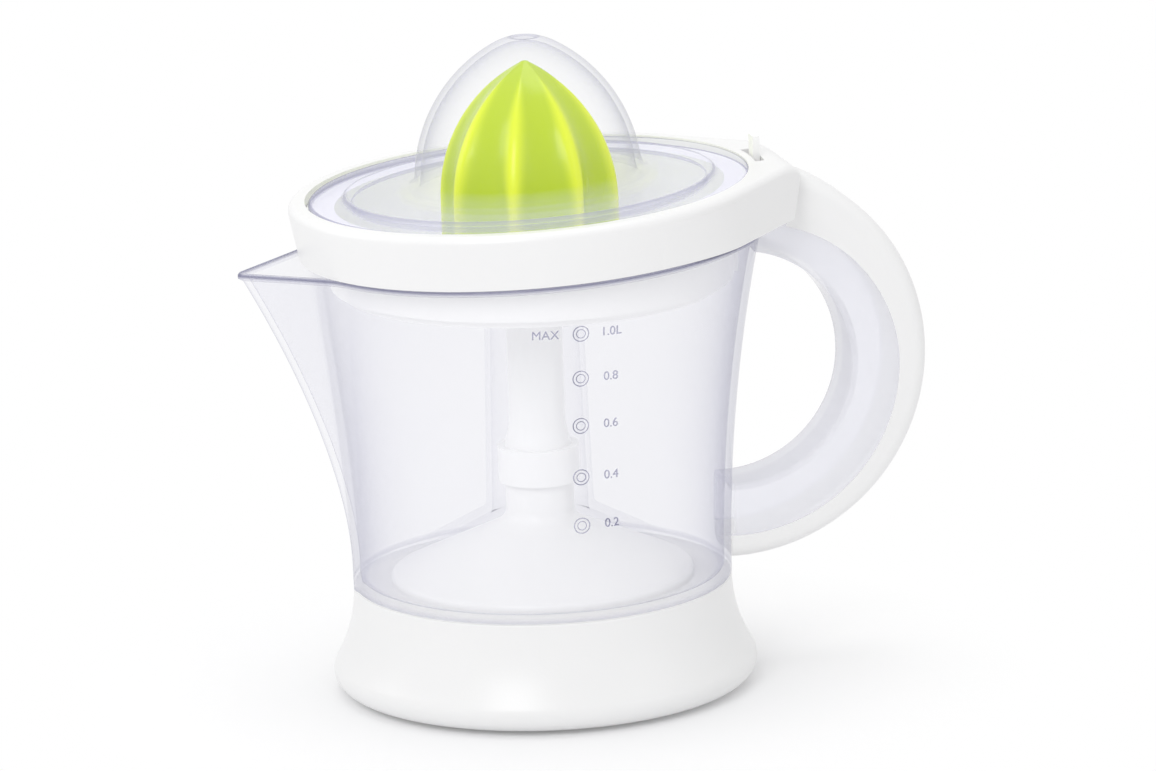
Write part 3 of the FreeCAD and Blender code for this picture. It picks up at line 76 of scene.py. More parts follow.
def slant(label, note, degrees):
    """An angle that a user may set."""
    return FloatProperty(name=label, description=note, default=math.radians(degrees), subtype="ANGLE")


def colour(label, note, value):
    """A colour that a user may set."""
    return FloatVectorProperty(name=label, description=note, default=value, subtype="COLOR", size=3,
                               min=0.0, max=1.0)


class PressSizes(bpy.types.PropertyGroup):
    """Sizes of the moulded surfaces."""
    base_bulge: length("Base bulge", "Radius of the base at its bulge", 0.0710)
    base_waist: length("Base waist", "Radius of the base at its top edge", 0.0633)
    ledge: length("Ledge height", "Height of the ledge that carries the jug", 0.0365)
    jug_foot: length("Jug foot", "Radius of the jug at its foot", 0.0634)
    jug_rim: length("Jug rim", "Radius of the jug at its rim", 0.0760)
    jug_wall: length("Jug wall", "Thickness of the jug wall", 0.0024)
    rim_height: length("Rim height", "Rim plane on the drive axis", 0.1525)
    rim_tilt: slant("Rim tilt", "Rise of the rim towards the handle", 2.6)
    prow_reach: length("Prow reach", "Pouring edge beyond the foot of the jug", 0.0350)
    prow_half: slant("Prow angle", "Half angle of the prow", 43.0)
    cone_ridge: length("Cone ridge", "Radius of the cone at its ribs", 0.0300)
    cone_tip: length("Cone tip", "Height of the cone's tip", 0.2112)
    flute_round: length("Flute round", "Radius of a flute's section", 0.0180)
    flute_depth: length("Flute depth", "Depth of a flute at the cone's widest", 0.0052)
    lid_edge: length("Lid edge", "Radius of the lid's flange", 0.0732)
    lid_dome: length("Lid dome", "Radius of the lid's dome", 0.0377)
    lid_top: length("Lid top", "Height of the lid's dome", 0.2204)
    lid_seat: length("Lid seat", "Underside of the lid's flange above the rim plane", 0.0154)
    lid_wall: length("Lid wall", "Thickness of the lid", 0.0020)
    mark_height: length("Mark height", "Height of the scale's lettering", 0.0042)


class PressFinishes(bpy.types.PropertyGroup):
    """Colours of the finishes."""
    white: colour("White moulding", "Body colour of the white parts", (0.86, 0.86, 0.86))
    lime: colour("Lime moulding", "Body colour of the cone", (0.50, 0.66, 0.003))
    # painted highlight: the colour painted onto the cone's ribs, lighter than the grooves
    lime_rib_highlight: colour("Pale lime", "Colour of the cone where it is thin", (0.86, 0.97, 0.020))
    clear: colour("Clear moulding", "Tint of the clear parts", (0.62, 0.62, 0.76))
    clear_edge: colour("Clear edge", "Tint of the clear parts where they are seen edge on",
                       (0.16, 0.16, 0.27))
    clear_lid: colour("Clear lid", "Tint of the clear lid", (0.70, 0.69, 0.95))
    frost: colour("Clear handle", "Tint of the clear handle", (0.82, 0.82, 0.88))
    nylon: colour("Nylon", "Gears, bobbins and plunger", (0.80, 0.77, 0.66))
    steel: colour("Steel", "Pins, screws and shafts", (0.60, 0.60, 0.62))
    core: colour("Core plates", "Stacked plates of the motor core", (0.22, 0.22, 0.24))
    copper: colour("Copper", "Enamelled winding wire", (0.58, 0.20, 0.07))
    bronze: colour("Bronze", "Sintered bushes", (0.45, 0.29, 0.13))
    rubber: colour("Rubber", "Foot ring and cord inlet", (0.055, 0.055, 0.058))
    black: colour("Black plastic", "Switch body", (0.025, 0.025, 0.027))
    grey: colour("Grey plastic", "Gear plate", (0.36, 0.37, 0.39))


class PressStage(bpy.types.PropertyGroup):
    """Camera and light."""
    azimuth: slant("Azimuth", "Camera round the object", -12.32)
    elevation: slant("Elevation", "Camera above the horizon", 13.37)
    roll: slant("Roll", "Camera's lean", -1.96)
    distance: length("Distance", "Camera from its aim", 2.2)
    focal: FloatProperty(name="Focal length", description="Focal length in pixels of the photograph's frame",
                         default=6609.5)
    aim_right: length("Aim right", "Aim to the right of the drive axis", 0.01395)
    aim_up: length("Aim up", "Aim above the floor", 0.10135)


GROUPS = (("press_sizes", PressSizes), ("press_finishes", PressFinishes), ("press_stage", PressStage))


# Shader expressions

class Value:
    """A socket of a material's tree; arithmetic on it adds Math nodes."""

    def __init__(self, paint, socket):
        self.paint = paint
        self.socket = socket

    def math(self, operation, *values):
        return self.paint.node("ShaderNodeMath", {"operation": operation}, *values)

    def __add__(self, other):
        return self.math("ADD", self, other)

    def __sub__(self, other):
        return self.math("SUBTRACT", self, other)

    def __mul__(self, other):
        return self.math("MULTIPLY", self, other)

    def __pow__(self, other):
        return self.math("POWER", self, other)

    def __radd__(self, other):
        return self.math("ADD", other, self)

    def __rsub__(self, other):
        return self.math("SUBTRACT", other, self)

    def __rmul__(self, other):
        return self.math("MULTIPLY", other, self)

    def clamped(self):
        """The value held between nought and one."""
        return self.math("MINIMUM", self.math("MAXIMUM", self, 0.0), 1.0)


class Paint:
    """The nodes of a new material, or of another owner such as the world."""

    def __init__(self, name, owner=None):
        self.owner = owner or bpy.data.materials.new(name)
        self.owner.use_nodes = True
        self.tree = self.owner.node_tree
        self.tree.nodes.clear()
        self.place = self.node("ShaderNodeTexCoord", {}, out="Object")

    def node(self, kind, settings, *values, out=0, **sockets):
        """A node with its settings first, then numbers or links for its sockets, by place or by name."""
        made = self.tree.nodes.new(kind)
        for key, setting in settings.items():
            setattr(made, key, setting)
        for key, value in list(enumerate(values)) + list(sockets.items()):
            socket = made.inputs[key.replace("_", " ") if isinstance(key, str) else key]
            if isinstance(value, Value):
                self.tree.links.new(value.socket, socket)
            elif value is not None:
                socket.default_value = value
        return Value(self, made.outputs[out])

    def mapped(self, scale):
        """Object coordinates stretched by a scale."""
        return self.node("ShaderNodeMapping", {}, Vector=self.place, Scale=scale)

    def flat(self):
        """Object coordinates without their height."""
        return self.node("ShaderNodeVectorMath", {"operation": "MULTIPLY"}, self.place, (1.0, 1.0, 0.0),
                         out="Vector")

    def size_of(self, vector):
        """How long a vector is."""
        return self.node("ShaderNodeVectorMath", {"operation": "LENGTH"}, vector, out="Value")

    def mark(self, name):
        """A surface's own number of that name; nought where a surface has none."""
        return self.node("ShaderNodeAttribute", {"attribute_name": name}, out="Fac")

    def noise(self, scale, detail=2.0, rough=0.5, place=None):
        """Cloudy numbers about one half."""
        return self.node("ShaderNodeTexNoise", {}, Vector=place or self.place, Scale=scale, Detail=detail,
                         Roughness=rough, out="Fac")

    def blend(self, share, first, second):
        """Colour that goes from first to second with share.

        A Mix node keeps its colours in its seventh and eighth sockets.
        """
        unused = [None] * 5
        colours = ((*first, 1.0), (*second, 1.0))
        return self.node("ShaderNodeMix", {"data_type": "RGBA"}, share, *unused, *colours, out=2)

    def wave(self, direction, scale, **sockets):
        """Bands across one direction."""
        return self.node("ShaderNodeTexWave", {"bands_direction": direction, "wave_profile": "SIN"},
                         Vector=self.place, Scale=scale, out="Fac", **sockets)

    def bump(self, height, strength, distance):
        """Normals of a fine relief."""
        return self.node("ShaderNodeBump", {}, Strength=strength, Distance=distance, Height=height,
                         out="Normal")

    def edge_on(self, weight):
        """One where the surface is seen edge on, nought where it faces the viewer."""
        return self.node("ShaderNodeLayerWeight", {}, weight, out="Facing")

    def seen(self):
        """One for rays from the camera, off a glossy surface or through a clear one, nought for others."""
        rays = ("Is Camera Ray", "Is Glossy Ray", "Is Transmission Ray")
        camera, glossy, passed = (self.node("ShaderNodeLightPath", {}, out=ray) for ray in rays)
        return (camera + glossy + passed).clamped()

    def close(self, shader, output="ShaderNodeOutputMaterial"):
        """End the nodes with a shader."""
        last = self.tree.nodes.new(output)
        self.tree.links.new(shader.socket, last.inputs["Surface"])
        return self.owner

    def finish(self, **sockets):
        """End a material with the main shader; a name's underscores stand for spaces."""
        return self.close(self.node("ShaderNodeBsdfPrincipled", {}, out="BSDF", **sockets))


def shade(value, gain=1.0):
    """A colour made lighter or darker."""
    return tuple(min(1.0, part * gain) for part in value)


def white_moulding(name, tint, painted_glow=0.0, above=None):
    """Satin white plastic: faint clouding, the fine grain of a moulding tool, and a painted glow that lifts
    parts lying in shade.

    The painted glow may start above a height.
    """
    p = Paint(name)
    cloud = p.noise(18.0, 3.0)
    grain = p.noise(900.0, 2.0)
    light = {}
    # painted glow: emission that brightens white parts which lie in shade
    if painted_glow:
        light = {"Emission_Color": (*shade(tint), 1.0), "Emission_Strength": painted_glow}
    if above:
        # painted glow only above a height, so that only the parts above it glow
        height = p.node("ShaderNodeSeparateXYZ", {}, p.place, out="Z")
        inner = ((height - above) * 900.0).clamped()
        light["Emission_Color"] = p.blend(inner, (0.0, 0.0, 0.0), shade(tint))
    return p.finish(
        Base_Color=p.blend(cloud, shade(tint, 0.985), shade(tint, 1.015)),
        Roughness=0.26 + 0.10 * cloud,
        Normal=p.bump(grain, 0.05, 0.0004),
        Specular_IOR_Level=0.45,
        **light,
    )


def clear_moulding(name, tint, edge, body, milk=0.0, gloss=0.22, start=41.0 * MM):
    """Clear plastic: nearly open where it faces the viewer, tinted and more solid where it is seen edge on.

    Rows of a surface that are marked as edges are darker still, with painted dark lines that stand in for
    the refraction at a clear moulding's edges. Further from the axis than start, the moulding has more body,
    by milk.
    """
    p = Paint(name)
    wide = ((p.size_of(p.flat()) - start) * 300.0).clamped()
    rim = p.edge_on(0.5) ** 3.0
    # painted shade: dark lines on rows marked as edges, standing in for the refraction at a clear moulding's
    # lip, foot and steps
    line = p.mark("edge")
    calm = 1.0 - p.mark("calm")
    ripple = p.noise(26.0, 2.0)
    return p.finish(
        Base_Color=p.blend((0.8 * rim * calm + line).clamped(), shade(tint), shade(edge)),
        Alpha=((body + 0.55 * rim + 0.02 * ripple) * calm + milk * wide + 0.8 * line).clamped(),
        Roughness=0.03 + 0.03 * ripple,
        Normal=p.bump(ripple, 0.04, 0.002),
        IOR=1.49,
        Specular_IOR_Level=gloss,
    )


def lime_moulding(body, rib_highlight):
    """Glossy lime plastic with flow marks and a faint tool grain; a painted highlight lightens the ribs and
    the grooves keep the darker body colour as painted shade.
    """
    p = Paint("lime moulding")
    rib = p.mark("rib")
    flow = p.noise(40.0, 3.0, place=p.mapped(scale=(1.0, 1.0, 0.35)))
    grain = p.noise(700.0, 2.0)
    return p.finish(
        # painted highlight on the ribs and painted shade in the grooves, mixed with the flow marks
        Base_Color=p.blend((rib * 0.9 + (flow - 0.5) * 0.5).clamped(), shade(body), shade(rib_highlight)),
        Roughness=0.20 + 0.12 * flow,
        Normal=p.bump(grain, 0.04, 0.0004),
        Specular_IOR_Level=0.35,
        Coat_Weight=0.15,
        Coat_Roughness=0.08,
    )


def scale_ink(tint):
    """Raised moulded lettering that catches the light as frosted plastic does."""
    p = Paint("scale marks")
    frost = p.noise(1500.0, 2.0)
    return p.finish(Base_Color=p.blend(frost, shade(tint, 0.8), shade(tint)), Roughness=0.42 + 0.2 * frost,
                    Alpha=(0.36 + 0.2 * frost).clamped())


def nylon_moulding(tint):
    """Milky nylon with soft clouding."""
    p = Paint("nylon")
    cloud = p.noise(60.0, 3.0)
    return p.finish(Base_Color=p.blend(cloud, shade(tint, 0.93), shade(tint, 1.06)),
                    Roughness=0.42 + 0.12 * cloud, Normal=p.bump(p.noise(1100.0), 0.06, 0.0003),
                    Subsurface_Weight=0.08)


def turned_steel(tint):
    """Ground steel with fine rings along its length."""
    p = Paint("turned steel")
    lay = p.noise(60.0, 4.0, 0.6, p.mapped(scale=(1.0, 1.0, 40.0)))
    return p.finish(Base_Color=p.blend(lay, shade(tint, 0.85), shade(tint, 1.1)), Metallic=1.0,
                    Roughness=0.22 + 0.22 * lay, Normal=p.bump(lay, 0.08, 0.0002))


def core_plates(tint):
    """Stack of thin plates, half a millimetre each, with dark edges between them."""
    p = Paint("core plates")
    stripe = p.wave("Z", 318.0)
    stain = p.noise(90.0, 3.0)
    return p.finish(Base_Color=p.blend(stripe * (0.6 + 0.4 * stain), shade(tint, 0.45), shade(tint, 1.15)),
                    Metallic=0.8, Roughness=0.42 + 0.2 * stain, Normal=p.bump(stripe, 0.35, 0.0003))


def copper_wire(tint):
    """Enamelled wire laid side by side round the leg of the core."""
    p = Paint("copper wire")
    lay = p.wave("Y", 480.0, Distortion=0.6, Detail=1.0)
    return p.finish(Base_Color=p.blend(lay, shade(tint, 0.5), shade(tint, 1.3)), Metallic=0.9,
                    Roughness=0.30 + 0.15 * lay, Normal=p.bump(lay, 0.6, 0.0004), Coat_Weight=0.5)


def sintered_bronze(tint):
    """Porous bearing bronze."""
    p = Paint("sintered bronze")
    pore = p.noise(1300.0, 3.0, 0.7)
    return p.finish(Base_Color=p.blend(pore, shade(tint, 0.6), shade(tint, 1.2)), Metallic=1.0,
                    Roughness=0.40 + 0.25 * pore, Normal=p.bump(pore, 0.2, 0.0003))


def matt_rubber(tint):
    """Dull black rubber with a little dust."""
    p = Paint("rubber")
    dust = p.noise(220.0, 4.0, 0.6)
    return p.finish(Base_Color=p.blend(dust, shade(tint, 0.8), shade(tint, 1.5)),
                    Roughness=0.72 + 0.2 * dust, Normal=p.bump(dust, 0.15, 0.0005))


def matt_plastic(name, tint):
    """Plain grained plastic."""
    p = Paint(name)
    grain = p.noise(750.0, 3.0)
    cloud = p.noise(35.0)
    return p.finish(Base_Color=p.blend(cloud, shade(tint, 0.9), shade(tint, 1.1)),
                    Roughness=0.45 + 0.15 * grain, Normal=p.bump(grain, 0.15, 0.0003))


FINISHES = {}


def finishes():
    """The materials by the record's slot names, made once."""
    if not FINISHES:
        f = bpy.context.scene.press_finishes
        FINISHES.update({
            "white_plastic": white_moulding("white moulding", f.white),
            # painted glow: white finishes that give off a little light of their own, to lift the shade
            # inside the jug and under the collar
            "white_painted_glow": white_moulding("white painted glow moulding", f.white, painted_glow=0.12),
            "white_base_painted_glow": white_moulding("white base painted glow moulding", f.white, painted_glow=0.11, above=37.2 * MM),
            "clear_plastic": clear_moulding("clear moulding", f.clear, f.clear_edge, 0.06),
            "clear_lid": clear_moulding("clear lid", f.clear_lid, f.clear_edge, 0.010,
                                        milk=0.16, gloss=0.14),
            "clear_handle": clear_moulding("clear handle", shade(f.frost, 1.04), shade(f.clear, 0.6), 0.05,
                                           milk=0.34, start=62.5 * MM),
            "lime_plastic": lime_moulding(f.lime, f.lime_rib_highlight),
            "natural_plastic": nylon_moulding(f.nylon),
            "steel": turned_steel(f.steel),
            "core_steel": core_plates(f.core),
            "magnet": matt_plastic("ferrite", shade(f.core, 0.5)),
            "copper": copper_wire(f.copper),
            "bronze": sintered_bronze(f.bronze),
            "rubber": matt_rubber(f.rubber),
            "black_plastic": matt_plastic("black plastic", f.black),
            "grey_plastic": matt_plastic("grey plastic", f.grey),
            "scale": scale_ink(shade(f.clear_edge, 1.6)),
        })
    return FINISHES


# Surfaces

def surface(name, points, ring=True, loop=False, **marks):
    """A mesh from a grid of points, (rows, columns, 3), with named numbers per row or per point.

    Row i, column j joins (i, j), (i, j+1), (i+1, j+1) and (i+1, j). With ring the last column joins the
    first, with loop the last row joins the first. Rows that shrink to a point are merged into poles.
    """
    rows, columns = points.shape[:2]
    i = np.arange(rows if loop else rows - 1)
    j = np.arange(columns if ring else columns - 1)
    low = (i * columns)[:, None]
    high = (((i + 1) % rows) * columns)[:, None]
    left = j[None, :]
    right = ((j + 1) % columns)[None, :]
    faces = np.stack([low + left, low + right, high + right, high + left], axis=-1).reshape(-1, 4)
    mesh = bpy.data.meshes.new(name)
    mesh.from_pydata(points.reshape(-1, 3).tolist(), [], faces.tolist())
    for key, value in marks.items():
        spread = np.broadcast_to(np.asarray(value, dtype=np.float32).reshape(rows, -1), (rows, columns))
        mesh.attributes.new(key, "FLOAT", "POINT").data.foreach_set("value", spread.ravel())
    work = bmesh.new()
    work.from_mesh(mesh)
    bmesh.ops.remove_doubles(work, verts=work.verts, dist=1e-7)
    bmesh.ops.dissolve_degenerate(work, edges=work.edges, dist=1e-8)
    bmesh.ops.recalc_face_normals(work, faces=work.faces)
    work.to_mesh(mesh)
    work.free()
    return mesh


def piece(name, mesh, body, slot, *nodes, finish=None, sharp=35.0):
    """Put a mesh into the scene as a piece of a body, in place of CAD nodes.

    A body may also be a pair of bodies with two points; such a piece only has its place fixed, and is not
    joined to either body.
    Clear pieces let the light of lamps and sky through to what they hold.
    """
    mesh.polygons.foreach_set("use_smooth", np.ones(len(mesh.polygons), dtype=bool))
    mesh.set_sharp_from_angle(angle=math.radians(sharp))
    mesh.materials.clear()
    mesh.materials.append(finishes()[finish or slot])
    made = bpy.data.objects.new(name, mesh)
    bpy.context.scene.collection.objects.link(made)
    if isinstance(body, str):
        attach(made, body)
    else:
        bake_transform(made)
    if nodes:
        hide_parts(*nodes)
    if slot == "clear_plastic":
        made.visible_shadow = False
        made.visible_diffuse = False
    return made


def fine_copy(name, node, body, slot, sharp=32.0, finish=None, shape=None):
    """A CAD node's own shape with its loose triangles joined and its faces smoothed, and shaped if asked."""
    mesh = frame["nodes"][node].data.copy()
    mesh.name = name
    if "custom_normal" in mesh.attributes:
        mesh.attributes.remove(mesh.attributes["custom_normal"])
    work = bmesh.new()
    work.from_mesh(mesh)
    bmesh.ops.remove_doubles(work, verts=work.verts, dist=2e-6)
    if shape:
        shape.cut(work)
    work.to_mesh(mesh)
    work.free()
    if shape:
        place = np.empty(len(mesh.vertices) * 3)
        mesh.vertices.foreach_get("co", place)
        mesh.vertices.foreach_set("co", shape.move(place.reshape(-1, 3)).ravel())
        mesh.update()
    return piece(name, mesh, body, slot, node, sharp=sharp, finish=finish)


def softened(corners, radius, steps):
    """A closed outline with its corners rounded.

    Each corner P gives way to the curve (1-t)^2 A + 2t(1-t) P + t^2 B, where A and B lie on the two sides at
    the corner's radius, or nearly half way along a short side. corners is (n, 2), with a radius each.
    """
    short = 0.48
    corners = np.asarray(corners, dtype=float)
    before = np.roll(corners, 1, axis=0) - corners
    after = np.roll(corners, -1, axis=0) - corners
    size_before = np.linalg.norm(before, axis=1, keepdims=True)
    size_after = np.linalg.norm(after, axis=1, keepdims=True)
    reach = np.asarray(radius, dtype=float)[:, None]
    start = corners + before / size_before * np.minimum(reach, short * size_before)
    end = corners + after / size_after * np.minimum(reach, short * size_after)
    t = np.linspace(0.0, 1.0, steps + 1)[None, :, None]
    curve = (1 - t) ** 2 * start[:, None] + 2 * t * (1 - t) * corners[:, None] + t ** 2 * end[:, None]
    return curve.reshape(-1, 2)


def arc(centre, radius, first, last, count):
    """Points (radius, height) on a circle from angle first to last, in degrees."""
    angle = np.radians(np.linspace(first, last, count))
    return np.stack([centre[0] + radius * np.cos(angle), centre[1] + radius * np.sin(angle)], axis=-1)


def around(columns):
    """Equal angles round a circle."""
    return np.linspace(0.0, 2 * math.pi, columns, endpoint=False)


def polar(radius, angle, height):
    """Points (r cos a, r sin a, h) for a radius, an angle and a height that fit each other's shapes."""
    radius, angle, height = np.broadcast_arrays(radius, angle, height)
    return np.stack([radius * np.cos(angle), radius * np.sin(angle), height], axis=-1)


def turned(profile, columns):
    """A profile (n, 2) of radius and height carried round the upright axis, as a grid (n, columns, 3)."""
    return polar(profile[:, :1], around(columns)[None, :], profile[:, 1:])


def sizes():
    """The sizes in use."""
    return bpy.context.scene.press_sizes


def rim_plane(x, w):
    """World height of a point x out along the handle's direction, w above the tilted rim plane."""
    s = sizes()
    return s.rim_height + x * math.tan(s.rim_tilt) + w / math.cos(s.rim_tilt)


def from_rim(x, y, w):
    """World points at x along the tilted rim plane, y across it and w square to it."""
    s = sizes()
    turn = math.cos(s.rim_tilt)
    lean = math.sin(s.rim_tilt)
    return np.stack([x * turn - w * lean, y, s.rim_height + x * lean + w * turn], axis=-1)


# Jug

def jug_sweep():
    """Radius and centre distance of the arc that the jug's wall follows."""
    s = sizes()
    flare = s.jug_rim - s.jug_foot
    rise = s.rim_height - s.ledge
    sweep = (flare ** 2 + rise ** 2) / (2 * flare)
    return sweep, s.jug_foot + sweep


def wall_radius(height, inset):
    """Round wall: the foot stands upright and the radius grows along one arc."""
    sweep, middle = jug_sweep()
    return middle - np.sqrt((sweep + inset) ** 2 - (height - sizes().ledge) ** 2)


def prow_radius(swing, height, inset):
    """Distance from the drive axis to the prow, at an angle swing from its edge.

    The prow is a V of straight sides tangent to a small round of radius r whose tip stands d from the axis;
    d grows as a power of the height. On a side the distance is a sin(h) / sin(swing + h), with the V's
    sharp apex at a, and on the round it is c cos(swing) + sqrt(r^2 - c^2 sin(swing)^2).
    """
    s = sizes()
    half = s.prow_half
    nose_round = 4.5 * MM
    start_gap = 6.0 * MM
    growth = 1.65
    widest = 1.2
    start = s.ledge + start_gap
    edge = s.rim_height - (s.jug_foot + s.prow_reach) * math.tan(s.rim_tilt)
    share = np.clip((height - start) / (edge - start), 0.0, 1.2)
    tip = s.jug_foot + s.prow_reach * share ** growth
    middle = tip - nose_round
    small = nose_round - inset
    apex = middle + small / math.sin(half)
    swing = np.abs(swing)
    side = apex * math.sin(half) / np.sin(np.minimum(swing, widest) + half)
    touch = np.arctan2(small * math.cos(half), middle + small * math.sin(half))
    under = np.maximum(small ** 2 - (middle * np.sin(swing)) ** 2, 0.0)
    nose = middle * np.cos(swing) + np.sqrt(under)
    return np.where(swing < touch, nose, np.where(swing < widest, side, 0.0))


def jug_radius(angle, height, inset, blend):
    """Wall and prow joined by a smooth maximum, (a + b + sqrt((a-b)^2 + k^2)) / 2."""
    swing = np.arctan2(np.sin(angle - math.pi), np.cos(angle - math.pi))
    a = wall_radius(height, inset)
    b = prow_radius(swing, height, inset)
    k = blend * np.exp(-(swing ** 4))
    return (a + b + np.sqrt((a - b) ** 2 + k ** 2)) / 2


def prow_angles(columns):
    """Angles round the axis, crowded towards the prow: sign(u) |u|^crowd pi from the pouring edge."""
    crowd = 1.6
    u = np.linspace(-1.0, 1.0, columns, endpoint=False)
    return math.pi + np.sign(u) * np.abs(u) ** crowd * math.pi


def jug_mesh():
    """One closed skin: up the outside, over the lip, down the inside, over the floor cone and the chimney.

    The rim's height is where the tilted plane meets the wall, found by putting it into itself a few times.
    Each row has a number for how dark its painted edge line is, standing in for refraction at the lip, foot
    and floor, and for how calm it is when it is seen edge on.
    """
    s = sizes()
    angle = prow_angles(320)[None, :]
    crisp = 1.2 * MM
    soft = 1.6 * MM
    lip = 2.2 * MM
    out = 1.4 * MM
    foot_round = 0.8 * MM
    lip_round = 0.5 * MM
    cove = 1.2 * MM
    floor = s.ledge + 2.6 * MM
    top = s.rim_height + np.zeros_like(angle)
    for _ in range(4):
        top = rim_plane(jug_radius(angle, top, 0.0, crisp) * np.cos(angle), 0.0)
    up = np.linspace(0.0, 1.0, 64)[:, None]
    outside = s.ledge + foot_round + up * (top - lip - s.ledge - foot_round)
    outer = jug_radius(angle, outside, 0.0, soft)
    brim = outer[-1:]
    mouth = jug_radius(angle, top, s.jug_wall, crisp)
    inside = top - lip_round + up * (floor + cove - top + lip_round)
    inner = jug_radius(angle, inside, s.jug_wall, crisp)
    foot = inner[-1:]
    # Floor cone, chimney and underside, as radius and height in millimetres
    lathe = np.concatenate([
        np.array([[58.0, 39.1], [57.0, 39.5]]),
        np.stack([np.linspace(55.0, 20.5, 14), np.linspace(40.6, 59.5, 14)], axis=-1),
        np.array([[18.9, 60.8], [18.1, 62.4]]),
        np.stack([np.linspace(17.95, 15.95, 10), np.linspace(66.0, 145.2, 10)], axis=-1),
        np.array([[15.6, 145.8], [14.6, 145.8], [14.2, 145.2]]),
        np.stack([np.linspace(14.3, 16.2, 8), np.linspace(141.0, 60.0, 8)], axis=-1),
        np.array([[16.5, 58.2], [17.4, 57.3]]),
        np.stack([np.linspace(20.0, 54.0, 10), np.linspace(56.45, 37.84, 10)], axis=-1),
        np.array([[55.4, 37.1], [56.4, 36.64], [62.6, 36.64], [63.1, 36.8]]),
    ]) * MM
    rows = [
        polar(outer, angle, outside),
        polar(brim + 0.5 * out, angle, top - lip + 0.1 * MM),
        polar(brim + out, angle, top - lip + 0.5 * MM),
        polar(brim + out, angle, top - 0.6 * MM),
        polar(brim + 0.7 * out, angle, top - 0.1 * MM),
        polar(brim + 0.3 * out, angle, top),
        polar(mouth + 0.5 * MM, angle, top),
        polar(mouth + 0.1 * MM, angle, top - 0.15 * MM),
        polar(inner, angle, inside),
        polar(foot - 0.4 * MM, angle, floor + 0.4 * MM),
        polar(foot - 1.3 * MM, angle, floor),
        polar(lathe[:, :1], angle, lathe[:, 1:]),
    ]
    edge = [np.zeros(len(row)) for row in rows]
    calm = [np.zeros(len(row)) for row in rows]
    # painted dark lines at the foot, lip and floor, standing in for refraction
    edge[0][0] = 0.25
    for row, mark in ((1, 0.10), (2, 0.25), (3, 1.0), (4, 0.8), (5, 0.3), (7, 0.3), (9, 0.20), (10, 0.10)):
        edge[row][:] = mark
    edge[11][-2:] = 0.2
    calm[11][:] = 0.72
    return surface("jug", np.concatenate(rows), loop=True, edge=np.concatenate(edge),
                   calm=np.concatenate(calm))


# Lid

def lid_mesh():
    """Clear cover: flange and plate follow the tilted rim, the dome stands upright on them.

    The dome is two arcs: a side arc about a point beyond the axis and a crown arc that meets it in tangent.
    A dimple of half an ellipse lies in the crown.
    """
    s = sizes()
    angle = around(192)[None, :]
    crown = 22.0 * MM
    foot = 172.0 * MM
    crown_z = s.lid_top - crown
    rise = crown_z - foot
    spare = s.lid_dome - crown
    offset = (rise ** 2 - spare ** 2) / (2 * spare)
    turn = math.degrees(math.atan2(rise, offset))

    def dome(inset, count):
        """Profile of the dome's outer face moved in by an inset."""
        side = arc((-offset, foot), s.lid_dome + offset - inset, 0.0, turn, count)
        cap = arc((0.0, crown_z), crown - inset, turn, 90.0, count)[1:]
        profile = np.concatenate([side, cap])
        profile[-1, 0] = 0.0
        return profile

    dimple = 4.6 * MM
    dimple_depth = 1.1 * MM
    outer = dome(0.0, 26)
    dip = np.clip(1.0 - (outer[:, 0] / dimple) ** 2, 0.0, 1.0)
    outer[:, 1] -= dimple_depth * np.sqrt(dip)
    inner = dome(s.lid_wall, 22)[::-1]
    # Flange, plate and underside, as radius and height above the flange's seat in millimetres
    flange = s.lid_edge / MM
    plate = np.array([
        [flange - 0.5, 0.0], [flange, 0.5], [flange, 1.8], [flange - 0.6, 2.4], [flange - 1.4, 2.4],
        [63.4, 2.4], [62.4, 2.55], [61.2, 3.6], [60.6, 3.86], [59.8, 3.9], [50.0, 3.9], [42.6, 3.95],
        [39.6, 4.7], [38.0, 6.6],
    ])
    under = np.array([
        [36.2, 4.6], [37.2, 2.6], [39.2, 1.95], [50.0, 1.9], [58.0, 1.9], [58.8, 1.6], [59.0, 0.4],
        [59.5, 0.0], [60.4, 0.0], [flange - 1.4, 0.0],
    ])

    def tilted(profile):
        """Rows that follow the tilted rim."""
        radius = profile[:, :1] * MM
        return polar(radius, angle, rim_plane(radius * np.cos(angle), s.lid_seat + profile[:, 1:] * MM))

    def upright(profile, start):
        """Rows of the dome; below a start above the seat their height eases into the tilted plate."""
        radius = profile[:, :1]
        least = rim_plane(radius * np.cos(angle), s.lid_seat + start)
        return polar(radius, angle, np.maximum(profile[:, 1:], least))

    rows = [
        tilted(plate), upright(outer[1:], 8.0 * MM), upright(inner[:-1], 6.4 * MM), tilted(under),
    ]
    edge = [np.zeros(len(row)) for row in rows]
    # painted dark lines on the flange's steps, the dimple and the underside, standing in for refraction at
    # the lid's edges
    edge[0][:] = [0.5, 0.8, 0.4, 0.7, 0.0, 0.0, 0.1, 0.6, 0.25, 0.0, 0.0, 0.0, 0.15, 0.1]
    edge[1][np.abs(outer[1:, 0] - 4.4 * MM) < 1.0 * MM] = 0.3
    edge[3][:] = [0.05, 0.1, 0.0, 0.0, 0.0, 0.4, 0.4, 0.2, 0.0, 0.0]
    calm = [np.full(len(row), share) for row, share in zip(rows, (0.55, 0.0, 0.0, 0.8))]
    return surface("lid", np.concatenate(rows), loop=True, edge=np.concatenate(edge),
                   calm=np.concatenate(calm))


# Handle

